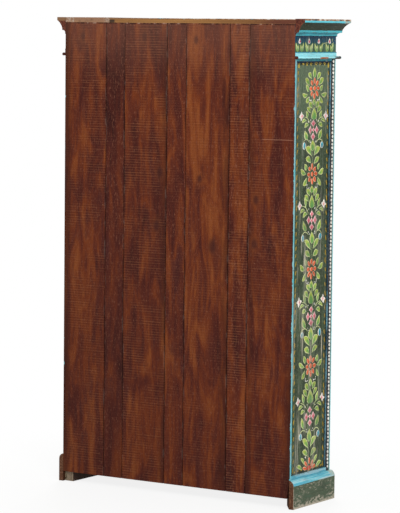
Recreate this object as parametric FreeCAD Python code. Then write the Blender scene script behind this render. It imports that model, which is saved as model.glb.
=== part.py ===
import FreeCAD, Part
import os
from math import hypot

# Painted cupboard with two panelled doors. The front faces -Y and +Z is up.
# The origin is on the floor, in the middle of the cupboard's outer box. All sizes are in millimetres.

Vector = FreeCAD.Vector

# Whole cupboard
HEIGHT = 1780.0            # floor to the top of the cornice
WIDTH = 1014.0             # across the two front posts
DEPTH = 295.0              # front of the posts to the outer face of the back boards

# Fits and gaps
FIT = 0.2                  # glue room round a tongue or tenon
RUN_GAP = 0.4              # air between pieces that turn past each other
PIN_FIT = 0.05             # running clearance between a hinge pin and its bore
DOOR_GAP = 3.0             # air above, below and between the doors
OVERRUN = 5.0              # how far a cut runs past what it cuts

# Back boards, wide and narrow in turn, lapped over each other
BACK_THICK = 14.0
NARROW_BOARD = 85.0
NARROW_COUNT = 3
BOARD_SEAM = 2.5
BOARD_LAP = 8.0
BACK_FOOT = 38.0           # floor to the lower end of the boards
WORN_CORNER = 10.0         # wood lost from one lower corner

# Side planks, set back behind the posts' side faces
PLANK_THICK = 30.0
PLANK_SETBACK = 8.0
PLANK_TONGUE = 8.0
TONGUE_THICK = 12.0
FOOT_LOSS = 22.0           # thickness broken from the left plank's foot at the back
FOOT_LOSS_DEEP = 56.0
FOOT_LOSS_HIGH = 45.0
FOOT_TAPER = 12.0

# Face frame
POST_WIDE = 60.0
POST_DEEP = 28.0
RAIL_THICK = 28.0
FRAME_TENON = 30.0
FRAME_TENON_THICK = 10.0
FRAME_SHOULDER = 12.0
BOTTOM_RAIL = 78.0

# Bead strip on the side of each post
BEAD_WIDE = 15.0
BEAD_REACH = 3.0
BEAD_INSET = 11.0          # front of the post to the strip

# Top, bottom and shelves
TOP_THICK = 15.0
TOP_DROP = 4.0             # how far the longer top board lies below the cornice's upper edge
TOP_SEAM = 2.0             # gap where the two lengths of the top meet
TOP_SEAM_SHARE = 0.8       # where they meet, from the left
BOARD_THICK = 18.0
SHELF_COUNT = 3
SHELF_PLAY = 0.5
CLEAT = 20.0

# Cornice, from its upper edge down
CORNICE_REACH = 40.0
CORNICE_FACE = 12.0
CORNICE_HOLLOW = 30.0
CORNICE_STEP_REACH = 16.5
CORNICE_STEP = 7.0
CORNICE_COVE = 7.0
CORNICE_BAND_REACH = 3.0
CORNICE_BAND = 7.0
HOLLOW_BOW_SHARE = -0.10
COVE_BOW_SHARE = -0.18

# Frieze and necking under the cornice
FRIEZE_FACE = 56.0
NECK_BAND = 15.0
NECK_BAND_REACH = 1.5
NECK_NOSE = 11.0
NECK_REACH = 15.0
FRIEZE_LIP = 10.0          # how far the frieze shows below the necking

# Plinth
PLINTH_FACE = 85.0
PLINTH_REACH = 19.0
PLINTH_OVOLO = 21.0
PLINTH_TOP_REACH = 3.0
PLINTH_FRONT = 5.0         # thickness of the flat board across the front
OVOLO_BOW_SHARE = 0.17
BASE_LIP = 13.0            # how far the base strip shows above the plinth

# Doors
DOOR_THICK = 26.0
STILE = 72.0
TOP_RAIL = 80.0
LOCK_RAIL = 90.0
LOW_RAIL = 105.0
LOCK_RAIL_SHARE = 0.42     # middle of the lock rail, up the door
PANEL_THICK = 10.0
PANEL_PLAY = 1.0           # room for a panel to swell in its grooves
GROOVE = 10.0
DOOR_TENON = 32.0
SHOULDER_LAND = 5.0        # wood between a groove and the tenon beside it
FIELD_MARGIN = 14.0        # frame to the foot of the raised field
FIELD_BEVEL = 16.0
FIELD_RISE = 4.0
MOULD_WIDE = 9.0           # quarter round planted between a panel and its frame
MOULD_HIGH = 6.5
MOULD_EDGE = 1.5

# Butt hinges
HINGE_SHARES = (0.09, 0.5, 0.91)
HINGE_HIGH = 75.0
LEAF_WIDE = 22.0
LEAF_THICK = 1.8
KNUCKLE = 5.0
HINGE_PIN = 2.5
PIN_HEAD = 2.0

# Ring pulls
RING_SHARE = 0.545         # height of the eye, up the door
ROSETTE = 26.0
ROSETTE_RIM = 1.5
ROSETTE_DOME = 3.5
RING = 24.0                # centre of the ring to the middle of its wire
RING_WIRE = 3.5
RING_PLAY = 0.7
RING_STANDOFF = 10.5       # door to the middle of the wire
EYE_WALL = 3.0
EYE_WIDE = 8.0

# Hasp, folded back on the right door, and its staple on the left door
HASP_SHARE = 0.625         # height up the door
HASP_AXIS = 10.0           # middle of the cupboard to the hasp's pin
HASP_WIDE = 30.0
HASP_THICK = 2.5
HASP_BARREL = 4.0
HASP_PIN = 2.0
HASP_LEAF = 30.0
HASP_LEAF_THICK = 2.0
HASP_PLAY = 1.2
HASP_MARGIN = 9.0          # metal beyond the slot
STAPLE_AT = 43.0           # hasp's pin to the middle of the staple
STAPLE_SPAN = 12.0
STAPLE_WIRE = 2.5
STAPLE_REACH = 20.0
STAPLE_PLATE_LONG = 38.0
STAPLE_PLATE_THICK = 1.5

# Places worked out from the sizes
Y_BACK = (DEPTH + CORNICE_REACH) / 2
Y_FRONT = Y_BACK - DEPTH
Y_INNER = Y_BACK - BACK_THICK
Y_POST = Y_FRONT + POST_DEEP
Y_DOOR = Y_FRONT + DOOR_THICK
Y_PANEL = (Y_FRONT + Y_DOOR - PANEL_THICK) / 2
X_SIDE = WIDTH / 2
X_PLANK = X_SIDE - PLANK_SETBACK
X_INNER = X_PLANK - PLANK_THICK
X_POST = X_SIDE - POST_WIDE
CORNICE_HIGH = CORNICE_FACE + CORNICE_HOLLOW + CORNICE_STEP + CORNICE_COVE + CORNICE_BAND
Z_CAP = HEIGHT - TOP_DROP - TOP_THICK
Z_CORNICE = HEIGHT - CORNICE_HIGH
Z_NECK = Z_CORNICE - FRIEZE_FACE - NECK_BAND - NECK_NOSE
Z_FIELD_TOP = Z_NECK - FRIEZE_LIP
Z_PLINTH = PLINTH_FACE + PLINTH_OVOLO
Z_FIELD = Z_PLINTH + BASE_LIP
HINGE_GAP = 2 * LEAF_THICK + RUN_GAP
X_PIN = X_POST - HINGE_GAP / 2
Y_PIN = Y_FRONT - KNUCKLE - RUN_GAP
X_HINGE_EDGE = X_POST - HINGE_GAP
X_MEETING = DOOR_GAP / 2
Z_DOOR = Z_FIELD + DOOR_GAP
Z_DOOR_TOP = Z_FIELD_TOP - DOOR_GAP
Z_RING = Z_DOOR + RING_SHARE * (Z_DOOR_TOP - Z_DOOR)
X_RING = X_MEETING + STILE / 2
Y_RING = Y_FRONT - RING_STANDOFF
Z_HASP = Z_DOOR + HASP_SHARE * (Z_DOOR_TOP - Z_DOOR)
Y_HASP = Y_FRONT - HASP_BARREL - RUN_GAP
X_STAPLE = HASP_AXIS - STAPLE_AT
SLOT_NEAR = STAPLE_AT - STAPLE_SPAN / 2 - STAPLE_WIRE - HASP_PLAY
SLOT_FAR = hypot(STAPLE_AT + STAPLE_SPAN / 2 + STAPLE_WIRE, Y_HASP - Y_FRONT + STAPLE_REACH) + HASP_PLAY
SLOT_HALF = STAPLE_WIRE + HASP_PLAY
HALF_TURN_SHARE = 0.5      # an arc's rise over its chord, for a half circle


# Building blocks

def block(x_ends, y_ends, z_ends):
    """Straight-sided piece between two places on each axis, given in either order."""
    low = Vector(min(x_ends), min(y_ends), min(z_ends))
    high = Vector(max(x_ends), max(y_ends), max(z_ends))
    size = high - low
    return Part.makeBox(size.x, size.y, size.z, low)


def mirrored(solid):
    """The same piece for the other side of the cupboard."""
    return solid.mirror(Vector(0, 0, 0), Vector(1, 0, 0))


def outline_face(corners, place):
    """Flat face round corners (out, up, bow); bow is the rise of the arc that ends there over its chord."""
    edges = []
    for index, (out, up, bow) in enumerate(corners):
        last_out, last_up, _ = corners[index - 1]
        start = place(last_out, last_up)
        end = place(out, up)
        if bow:
            middle_out = (last_out + out) / 2 + bow * (up - last_up)
            middle_up = (last_up + up) / 2 - bow * (out - last_out)
            edges.append(Part.Arc(start, place(middle_out, middle_up), end).toShape())
        else:
            edges.append(Part.makeLine(start, end))
    return Part.Face(Part.Wire(edges))


def upright(x, y, z_ends, radius):
    """Round bar standing along Z."""
    low, high = z_ends
    return Part.makeCylinder(radius, high - low, Vector(x, y, low))


def save(name, *solids):
    """Write one node: a single piece, or a group of like pieces."""
    shape = solids[0] if len(solids) == 1 else Part.makeCompound(solids)
    shape.exportStep(f"parts/{name}.step")


def save_pair(name, *solids):
    """Write a node of the right side and its mirror image on the left."""
    save(f"right_{name}", *solids)
    save(f"left_{name}", *map(mirrored, solids))


# Back boards

def board_edges():
    """Seam places from left to right, wide and narrow boards in turn."""
    wide = (WIDTH - NARROW_COUNT * NARROW_BOARD) / (NARROW_COUNT + 1)
    edges = [-X_SIDE]
    for index in range(2 * NARROW_COUNT + 1):
        edges.append(edges[-1] + (NARROW_BOARD if index % 2 else wide))
    return edges


def back_board(left, right, first, last):
    """One board, with half its thickness lapped under the next board and cut away over the one before."""
    y_lap = (Y_INNER + Y_BACK) / 2
    z_ends = (BACK_FOOT, Z_CAP)
    start = left if first else left + BOARD_SEAM / 2
    end = right if last else right - BOARD_SEAM / 2
    board = block((start, end), (Y_INNER, Y_BACK), z_ends)
    if not first:
        past_ends = (BACK_FOOT - OVERRUN, Z_CAP + OVERRUN)
        lap_end = left + BOARD_LAP + BOARD_SEAM / 2
        board = board.cut(block((start - OVERRUN, lap_end), (Y_INNER - OVERRUN, y_lap), past_ends))
    if not last:
        board = board.fuse(block((end, right + BOARD_LAP - BOARD_SEAM / 2), (Y_INNER, y_lap - FIT), z_ends))
    return board.removeSplitter()


def worn(board):
    """The left board with its lower outer corner worn to a slant beside the plinth."""
    corner = Vector(-X_SIDE, Y_INNER - OVERRUN, BACK_FOOT)
    along = Vector(WORN_CORNER, 0, 0)
    upward = Vector(0, 0, Z_PLINTH - BACK_FOOT)
    waste = Part.Face(Part.makePolygon([corner, corner + along, corner + upward, corner]))
    return board.cut(waste.extrude(Vector(0, BACK_THICK + 2 * OVERRUN, 0)))


# Sides

def side_plank():
    """Thick plank from floor to top, tongued into the post."""
    plank = block((X_INNER, X_PLANK), (Y_POST, Y_INNER), (0, Z_CAP))
    x_mid = (X_INNER + X_PLANK) / 2
    tongue_x = (x_mid - TONGUE_THICK / 2, x_mid + TONGUE_THICK / 2)
    return plank.fuse(block(tongue_x, (Y_POST - PLANK_TONGUE, Y_POST), (0, Z_CAP))).removeSplitter()


def broken_foot(plank):
    """The left plank with the inner side of its foot broken away at the back."""
    x_past = OVERRUN - X_INNER
    x_break = -X_INNER - FOOT_LOSS
    x_taper = x_break - FOOT_TAPER / 2
    corners = [(x_past, -OVERRUN, 0), (x_taper, -OVERRUN, 0), (x_taper, 0, 0), (x_break, FOOT_TAPER, 0),
               (x_break, FOOT_LOSS_HIGH, 0), (x_past, FOOT_LOSS_HIGH, 0)]
    waste = outline_face(corners, lambda out, up: Vector(out, Y_INNER - FOOT_LOSS_DEEP, up))
    return plank.cut(waste.extrude(Vector(0, FOOT_LOSS_DEEP + OVERRUN, 0)))


def side_strip(z_ends):
    """Board planted on the plank, flush with the post, above or below the painted field."""
    return block((X_PLANK, X_SIDE), (Y_POST, Y_INNER), z_ends)


def bead_strip():
    """Low half-round strip on the side of the post, from the plinth to the necking."""
    corners = [(0, 0, 0), (0, BEAD_WIDE, BEAD_REACH / BEAD_WIDE)]
    face = outline_face(corners, lambda out, up: Vector(X_SIDE + out, Y_FRONT + BEAD_INSET + up, Z_PLINTH))
    return face.extrude(Vector(0, 0, Z_NECK - Z_PLINTH))


# Face frame

def frame_tenon_ends(z_ends, room):
    """Places of a frame rail's tenon, or of its mortise when room is given, across and up."""
    y_mid = Y_FRONT + RAIL_THICK / 2
    half = FRAME_TENON_THICK / 2 + room
    low, high = z_ends
    return (y_mid - half, y_mid + half), (low + FRAME_SHOULDER - room, high - FRAME_SHOULDER + room)


def front_post():
    """Post with a groove for the plank's tongue and a mortise for each rail."""
    post = block((X_POST, X_SIDE), (Y_FRONT, Y_POST), (0, Z_CAP))
    x_mid = (X_INNER + X_PLANK) / 2
    half = TONGUE_THICK / 2 + FIT
    groove_y = (Y_POST - PLANK_TONGUE - FIT, Y_POST + OVERRUN)
    post = post.cut(block((x_mid - half, x_mid + half), groove_y, (-OVERRUN, Z_CAP + OVERRUN)))
    for z_ends in (frieze_rail_ends(), bottom_rail_ends()):
        mortise_y, mortise_z = frame_tenon_ends(z_ends, FIT)
        post = post.cut(block((X_POST - OVERRUN, X_POST + FRAME_TENON + FIT), mortise_y, mortise_z))
    return post


def frieze_rail_ends():
    """Lower and upper edge of the rail over the doors."""
    return Z_FIELD_TOP, Z_CAP


def bottom_rail_ends():
    """Lower and upper edge of the rail under the doors."""
    return Z_FIELD - BOTTOM_RAIL, Z_FIELD


def frame_rail(z_ends):
    """Rail between the posts with a tenon at each end."""
    rail = block((-X_POST, X_POST), (Y_FRONT, Y_FRONT + RAIL_THICK), z_ends)
    tenon_y, tenon_z = frame_tenon_ends(z_ends, 0)
    x_tenon = X_POST + FRAME_TENON
    return rail.fuse(block((-x_tenon, x_tenon), tenon_y, tenon_z)).removeSplitter()


# Top, bottom and shelves

def top_lengths():
    """The two lengths of the top, butted end to end, the shorter one level with the cornice."""
    x_seam = -X_SIDE + TOP_SEAM_SHARE * WIDTH
    y_ends = (Y_FRONT, Y_BACK)
    longer = block((-X_SIDE, x_seam - TOP_SEAM / 2), y_ends, (Z_CAP, Z_CAP + TOP_THICK))
    shorter = block((x_seam + TOP_SEAM / 2, X_SIDE), y_ends, (Z_CAP, HEIGHT))
    return longer, shorter


def lying_board(z_top, y_start):
    """Board across the cupboard, cut out round the two posts at its front corners."""
    x_end = X_INNER - SHELF_PLAY
    z_ends = (z_top - BOARD_THICK, z_top)
    board = block((-x_end, x_end), (y_start, Y_INNER), z_ends)
    z_cut = (z_ends[0] - OVERRUN, z_ends[1] + OVERRUN)
    notch_x = (X_POST - SHELF_PLAY, X_INNER + OVERRUN)
    notch = block(notch_x, (y_start - OVERRUN, Y_POST + SHELF_PLAY), z_cut)
    return board.cut(notch).cut(mirrored(notch))


def shelf_tops():
    """Heights of the shelves, evenly spaced between the bottom board and the top."""
    step = (Z_CAP - Z_FIELD) / (SHELF_COUNT + 1)
    return [Z_FIELD + step * (index + 1) for index in range(SHELF_COUNT)]


def cleat(z_top):
    """Batten on the right plank, under a board."""
    return block((X_INNER - CLEAT, X_INNER), (Y_POST, Y_INNER), (z_top - CLEAT, z_top))


# Mouldings

def cornice_outline():
    """Cornice in section, from its lower inner corner."""
    z_cove = CORNICE_BAND + CORNICE_COVE
    z_step = z_cove + CORNICE_STEP
    z_hollow = z_step + CORNICE_HOLLOW
    return [
        (0, 0, 0),
        (CORNICE_BAND_REACH, 0, 0),
        (CORNICE_BAND_REACH, CORNICE_BAND, 0),
        (CORNICE_STEP_REACH, z_cove, COVE_BOW_SHARE),
        (CORNICE_STEP_REACH, z_step, 0),
        (CORNICE_REACH, z_hollow, HOLLOW_BOW_SHARE),
        (CORNICE_REACH, CORNICE_HIGH, 0),
        (0, CORNICE_HIGH, 0),
    ]


def necking_outline():
    """Necking in section: a round nose under a flat band."""
    nose_start = NECK_REACH - NECK_NOSE / 2
    return [
        (0, 0, 0),
        (nose_start, 0, 0),
        (nose_start, NECK_NOSE, HALF_TURN_SHARE),
        (NECK_BAND_REACH, NECK_NOSE, 0),
        (NECK_BAND_REACH, NECK_NOSE + NECK_BAND, 0),
        (0, NECK_NOSE + NECK_BAND, 0),
    ]


def side_plinth():
    """Plinth along the right side, with a rounded top, cut square at the back and at the front."""
    corners = [
        (0, 0, 0),
        (PLINTH_REACH, 0, 0),
        (PLINTH_REACH, PLINTH_FACE, 0),
        (PLINTH_TOP_REACH, Z_PLINTH, OVOLO_BOW_SHARE),
        (0, Z_PLINTH, 0),
    ]
    face = outline_face(corners, lambda out, up: Vector(X_SIDE + out, Y_BACK, up))
    return face.extrude(Vector(0, Y_FRONT - PLINTH_FRONT - Y_BACK, 0))


def front_plinth():
    """Flat board across the front, between the side plinths, with a rounded upper edge."""
    corners = [
        (0, 0, 0),
        (PLINTH_FRONT, 0, 0),
        (PLINTH_FRONT, Z_PLINTH - PLINTH_FRONT, 0),
        (0, Z_PLINTH, OVOLO_BOW_SHARE),
    ]
    face = outline_face(corners, lambda out, up: Vector(-X_SIDE, Y_FRONT - out, up))
    return face.extrude(Vector(WIDTH, 0, 0))


def mitre_waste(reach, from_front):
    """Wedge outside the right front corner's mitre, cut from the front or from the side moulding."""
    size = reach + OVERRUN
    corner = Vector(X_SIDE, Y_FRONT, -OVERRUN)
    straight = Vector(size, 0, 0) if from_front else Vector(0, -size, 0)
    points = [corner, corner + Vector(size, -size, 0), corner + straight, corner]
    return Part.Face(Part.makePolygon(points)).extrude(Vector(0, 0, HEIGHT + 2 * OVERRUN))


def side_moulding(corners, base, reach):
    """Return along the right side, flush with the back and mitred at the front."""
    face = outline_face(corners, lambda out, up: Vector(X_SIDE + out, Y_BACK, base + up))
    return face.extrude(Vector(0, Y_FRONT - reach - Y_BACK, 0)).cut(mitre_waste(reach, False))


def front_moulding(corners, base, reach):
    """Moulding across the front, mitred at both ends."""
    x_end = X_SIDE + reach
    face = outline_face(corners, lambda out, up: Vector(-x_end, Y_FRONT - out, base + up))
    waste = mitre_waste(reach, True)
    return face.extrude(Vector(2 * x_end, 0, 0)).cut(waste).cut(mirrored(waste))


# Doors

def door_rail_ends():
    """Lower and upper edge of each rail of a door."""
    z_mid = Z_DOOR + LOCK_RAIL_SHARE * (Z_DOOR_TOP - Z_DOOR)
    return {
        "top_rail": (Z_DOOR_TOP - TOP_RAIL, Z_DOOR_TOP),
        "mid_rail": (z_mid - LOCK_RAIL / 2, z_mid + LOCK_RAIL / 2),
        "bottom_rail": (Z_DOOR, Z_DOOR + LOW_RAIL),
    }


def door_core(x_ends, z_ends, room):
    """Slab in the middle of the door's thickness: a tenon, or a groove or mortise when room is given."""
    y_mid = (Y_FRONT + Y_DOOR) / 2
    half = PANEL_THICK / 2 + room
    return block(x_ends, (y_mid - half, y_mid + half), z_ends)


def tenon_ends(z_ends, room):
    """Lower and upper side of a door rail's tenon or mortise."""
    low, high = z_ends
    shoulder = GROOVE + SHOULDER_LAND - room
    return low + shoulder, high - shoulder


def door_stile(x_outer, x_inner):
    """Stile with a groove down its inner edge and a mortise for each rail."""
    toward = 1 if x_outer > x_inner else -1
    stile = block((x_outer, x_inner), (Y_FRONT, Y_DOOR), (Z_DOOR, Z_DOOR_TOP))
    x_open = x_inner - toward * OVERRUN
    groove_z = (Z_DOOR - OVERRUN, Z_DOOR_TOP + OVERRUN)
    stile = stile.cut(door_core((x_open, x_inner + toward * GROOVE), groove_z, FIT))
    x_mortise = x_inner + toward * (DOOR_TENON + FIT)
    for z_ends in door_rail_ends().values():
        stile = stile.cut(door_core((x_open, x_mortise), tenon_ends(z_ends, FIT), FIT))
    return stile


def door_rail(z_ends, x_ends, groove_below, groove_above):
    """Rail with a tenon at each end and a groove along each edge that holds a panel."""
    low, high = z_ends
    rail = block(x_ends, (Y_FRONT, Y_DOOR), z_ends)
    past_ends = (x_ends[0] - OVERRUN, x_ends[1] + OVERRUN)
    if groove_below:
        rail = rail.cut(door_core(past_ends, (low - OVERRUN, low + GROOVE), FIT))
    if groove_above:
        rail = rail.cut(door_core(past_ends, (high - GROOVE, high + OVERRUN), FIT))
    tenons = door_core((x_ends[0] - DOOR_TENON, x_ends[1] + DOOR_TENON), tenon_ends(z_ends, 0), 0)
    return rail.fuse(tenons).removeSplitter()


def frame_corners(x_ends, z_ends):
    """Corners of an upright opening, one after the other, in the plane through the origin."""
    return [Vector(x_ends[0], 0, z_ends[0]), Vector(x_ends[0], 0, z_ends[1]),
            Vector(x_ends[1], 0, z_ends[1]), Vector(x_ends[1], 0, z_ends[0])]


def door_panel(x_ends, z_ends):
    """Loose panel in the frame's grooves, with a bevelled field raised on its front."""
    spread = GROOVE - PANEL_PLAY
    panel = door_core((x_ends[0] - spread, x_ends[1] + spread), (z_ends[0] - spread, z_ends[1] + spread), 0)
    foot_x = (x_ends[0] + FIELD_MARGIN, x_ends[1] - FIELD_MARGIN)
    foot_z = (z_ends[0] + FIELD_MARGIN, z_ends[1] - FIELD_MARGIN)
    field = Part.makeWedge(
        foot_x[0] + FIELD_BEVEL, Y_PANEL - FIELD_RISE, foot_z[0] + FIELD_BEVEL, foot_z[0], foot_x[0],
        foot_x[1] - FIELD_BEVEL, Y_PANEL, foot_z[1] - FIELD_BEVEL, foot_z[1], foot_x[1])
    return panel.fuse(field).removeSplitter()


def panel_moulding(x_ends, z_ends):
    """Four strips of quarter round in the corner between a panel and its frame, mitred where they meet."""
    section = [(0, 0, 0), (MOULD_WIDE, 0, 0), (MOULD_WIDE, MOULD_EDGE, 0), (0, MOULD_HIGH, OVOLO_BOW_SHARE)]
    outer = frame_corners(x_ends, z_ends)
    inner = frame_corners((x_ends[0] + MOULD_WIDE, x_ends[1] - MOULD_WIDE),
                          (z_ends[0] + MOULD_WIDE, z_ends[1] - MOULD_WIDE))
    strips = []
    for index, start in enumerate(outer):
        end = outer[(index + 1) % len(outer)]
        run = end - start
        inward = Vector(0, 1, 0).cross(run).normalize()
        face = outline_face(section, lambda out, up: start + inward * out + Vector(0, Y_PANEL - up, 0))
        bounds = [start, end, inner[(index + 1) % len(inner)], inner[index], start]
        wedge = Part.Face(Part.makePolygon([corner + Vector(0, Y_PANEL, 0) for corner in bounds]))
        strips.append(face.extrude(run).common(wedge.extrude(Vector(0, -MOULD_HIGH, 0))).Solids[0])
    return strips


# Butt hinges

def hinge_heights():
    """Middle height of each hinge."""
    return [Z_DOOR + share * (Z_DOOR_TOP - Z_DOOR) for share in HINGE_SHARES]


def knuckle_spans(z_mid, high):
    """Lower, middle and upper third of a barrel, with air between them."""
    third = high / 3
    starts = [z_mid - high / 2 + third * index for index in range(3)]
    return [(start + RUN_GAP / 2, start + third - RUN_GAP / 2) for start in starts]


def barrel_and_waste(x, y, spans, radius):
    """Knuckles on an axis, and the room that they need in the leaf they turn past."""
    knuckles = [upright(x, y, span, radius) for span in spans]
    waste = [upright(x, y, (low - RUN_GAP, high + RUN_GAP), radius + RUN_GAP) for low, high in spans]
    return knuckles, waste


def hinged(leaf, own, others, bore):
    """Leaf joined to its own knuckles, cleared for the other leaf's and bored for the pin."""
    return leaf.cut(others).fuse(own).removeSplitter().cut(bore)


def butt_hinge(z_mid):
    """Frame leaf, door leaf and pin of one hinge on the right door."""
    lower, middle, upper = knuckle_spans(z_mid, HINGE_HIGH)
    outer_knuckles, outer_waste = barrel_and_waste(X_PIN, Y_PIN, (lower, upper), KNUCKLE)
    middle_knuckle, middle_waste = barrel_and_waste(X_PIN, Y_PIN, (middle,), KNUCKLE)
    leaf_y = (Y_PIN, Y_FRONT + LEAF_WIDE)
    leaf_z = (lower[0], upper[1])
    bore = upright(X_PIN, Y_PIN, (lower[0] - OVERRUN, upper[1] + OVERRUN), HINGE_PIN + PIN_FIT)
    frame_plate = block((X_POST - LEAF_THICK, X_POST), leaf_y, leaf_z)
    door_plate = block((X_HINGE_EDGE, X_HINGE_EDGE + LEAF_THICK), leaf_y, leaf_z)
    frame_leaf = hinged(frame_plate, outer_knuckles, middle_waste, bore)
    door_leaf = hinged(door_plate, middle_knuckle, outer_waste, bore)
    pin = upright(X_PIN, Y_PIN, leaf_z, HINGE_PIN)
    head = upright(X_PIN, Y_PIN, (upper[1], upper[1] + PIN_HEAD), KNUCKLE)
    return frame_leaf, door_leaf, pin.fuse(head).removeSplitter()


# Ring pulls

def ring_rosette():
    """Domed plate on the right door with the eye that holds the ring."""
    dome = [
        (0, 0, 0),
        (ROSETTE, 0, 0),
        (ROSETTE, ROSETTE_RIM, 0),
        (0, ROSETTE_DOME, (ROSETTE_DOME - ROSETTE_RIM) / (2 * ROSETTE)),
    ]
    face = outline_face(dome, lambda out, up: Vector(X_RING + out, Y_FRONT - up, Z_RING))
    plate = face.revolve(Vector(X_RING, Y_FRONT, Z_RING), Vector(0, 1, 0), 360)
    bore_radius = RING_WIRE + RING_PLAY
    eye_radius = bore_radius + EYE_WALL
    eye_outline = [
        (0, -eye_radius, 0),
        (RING_STANDOFF, -eye_radius, 0),
        (RING_STANDOFF, eye_radius, HALF_TURN_SHARE),
        (0, eye_radius, 0),
    ]
    x_eye = X_RING - EYE_WIDE / 2
    eye = outline_face(eye_outline, lambda out, up: Vector(x_eye, Y_FRONT - out, Z_RING + up))
    bore_start = Vector(x_eye - OVERRUN, Y_RING, Z_RING)
    bore = Part.makeCylinder(bore_radius, EYE_WIDE + 2 * OVERRUN, bore_start, Vector(1, 0, 0))
    return plate.fuse(eye.extrude(Vector(EYE_WIDE, 0, 0))).removeSplitter().cut(bore)


def pull_ring():
    """Round ring hanging in the eye of the right door."""
    return Part.makeTorus(RING, RING_WIRE, Vector(X_RING, Y_RING, Z_RING - RING), Vector(0, 1, 0))


# Hasp and staple

def hasp_place(out, up):
    """Point on the middle plane of the hasp, measured from its pin."""
    return Vector(HASP_AXIS + out, Y_HASP + HASP_THICK / 2, Z_HASP + up)


def hasp_pieces():
    """Strap, fixed leaf and pin, with the strap folded back."""
    half = HASP_WIDE / 2
    lower, middle, upper = knuckle_spans(Z_HASP, HASP_WIDE)
    own_barrel, own_waste = barrel_and_waste(HASP_AXIS, Y_HASP, (lower, upper), HASP_BARREL)
    leaf_barrel, leaf_waste = barrel_and_waste(HASP_AXIS, Y_HASP, (middle,), HASP_BARREL)
    z_low, z_high = lower[0], upper[1]
    bore = upright(HASP_AXIS, Y_HASP, (z_low - OVERRUN, z_high + OVERRUN), HASP_PIN + PIN_FIT)
    tip = SLOT_FAR + HASP_MARGIN
    strap_outline = [
        (0, z_low - Z_HASP, 0),
        (tip - half, z_low - Z_HASP, 0),
        (tip - half, z_high - Z_HASP, HALF_TURN_SHARE),
        (0, z_high - Z_HASP, 0),
    ]
    slot_outline = [
        (SLOT_NEAR, -SLOT_HALF, HALF_TURN_SHARE),
        (SLOT_FAR, -SLOT_HALF, 0),
        (SLOT_FAR, SLOT_HALF, HALF_TURN_SHARE),
        (SLOT_NEAR, SLOT_HALF, 0),
    ]
    strap = outline_face(strap_outline, hasp_place).extrude(Vector(0, -HASP_THICK, 0))
    slot = outline_face(slot_outline, hasp_place).extrude(Vector(0, -HASP_THICK, 0))
    strap = hinged(strap.cut(slot), own_barrel, leaf_waste, bore)
    leaf_y = (Y_FRONT - HASP_LEAF_THICK, Y_FRONT)
    plate = block((HASP_AXIS, HASP_AXIS + HASP_LEAF), leaf_y, (z_low, z_high))
    leaf = hinged(plate, leaf_barrel, own_waste, bore)
    return strap, leaf, upright(HASP_AXIS, Y_HASP, (z_low, z_high), HASP_PIN)


def hasp_staple():
    """Bent bar on a small plate on the left door, standing where the hasp's slot comes down."""
    half = STAPLE_PLATE_LONG / 2
    plate_z = (Z_HASP - HASP_WIDE / 2, Z_HASP + HASP_WIDE / 2)
    staple = block((X_STAPLE - half, X_STAPLE + half), (Y_FRONT - STAPLE_PLATE_THICK, Y_FRONT), plate_z)
    bend = STAPLE_SPAN / 2
    leg = STAPLE_REACH - STAPLE_WIRE - bend
    outward = Vector(0, -1, 0)
    for x_leg in (X_STAPLE - bend, X_STAPLE + bend):
        staple = staple.fuse(Part.makeCylinder(STAPLE_WIRE, leg, Vector(x_leg, Y_FRONT, Z_HASP), outward))
    section = Part.makeCircle(STAPLE_WIRE, Vector(X_STAPLE + bend, Y_FRONT - leg, Z_HASP), outward)
    middle = Vector(X_STAPLE, Y_FRONT - leg, Z_HASP)
    crown = Part.Face(Part.Wire(section)).revolve(middle, Vector(0, 0, -1), 180)
    return staple.fuse(crown).removeSplitter()


# The whole cupboard

def make_carcass():
    """Back, sides, face frame, boards and mouldings."""
    edges = board_edges()
    last = len(edges) - 2
    for index in range(last + 1):
        board = back_board(edges[index], edges[index + 1], index == 0, index == last)
        save(f"back_board_{index + 1}", board if index else worn(board))
    save_pair("front_post", front_post())
    save("right_side_plank", side_plank())
    save("left_side_plank", broken_foot(mirrored(side_plank())))
    save_pair("side_frieze", side_strip((Z_FIELD_TOP, Z_CAP)))
    save_pair("base_strip", side_strip((0, Z_FIELD)))
    save_pair("bead_strip", bead_strip())
    save("front_frieze_rail", frame_rail(frieze_rail_ends()))
    save("front_bottom_rail", frame_rail(bottom_rail_ends()))
    save("top_board", *top_lengths())
    save("bottom_board", lying_board(Z_FIELD, Y_FRONT + RAIL_THICK))
    for number, z_top in enumerate(shelf_tops(), 1):
        save(f"shelf_{number}", lying_board(z_top, Y_DOOR + RUN_GAP))
    cleats = [cleat(z_top - BOARD_THICK) for z_top in [Z_FIELD] + shelf_tops()]
    save("shelf_cleats", *cleats, *map(mirrored, cleats))
    mouldings = {
        "cornice": (cornice_outline(), Z_CORNICE, CORNICE_REACH),
        "necking": (necking_outline(), Z_NECK, NECK_REACH),
    }
    for name, sizes in mouldings.items():
        save_pair(name, side_moulding(*sizes))
        save(f"front_{name}", front_moulding(*sizes))
    save_pair("plinth", side_plinth())
    save("front_plinth", front_plinth())


def make_doors():
    """Frames and panels of both doors."""
    x_ends = (X_MEETING + STILE, X_HINGE_EDGE - STILE)
    save_pair("hinge_stile", door_stile(X_HINGE_EDGE, x_ends[1]))
    save_pair("meeting_stile", door_stile(X_MEETING, x_ends[0]))
    rails = door_rail_ends()
    for name, z_ends in rails.items():
        save_pair(name, door_rail(z_ends, x_ends, name != "bottom_rail", name != "top_rail"))
    openings = {
        "upper_panel": (rails["mid_rail"][1], rails["top_rail"][0]),
        "lower_panel": (rails["bottom_rail"][1], rails["mid_rail"][0]),
    }
    for name, z_ends in openings.items():
        save_pair(name, door_panel(x_ends, z_ends), *panel_moulding(x_ends, z_ends))


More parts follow.
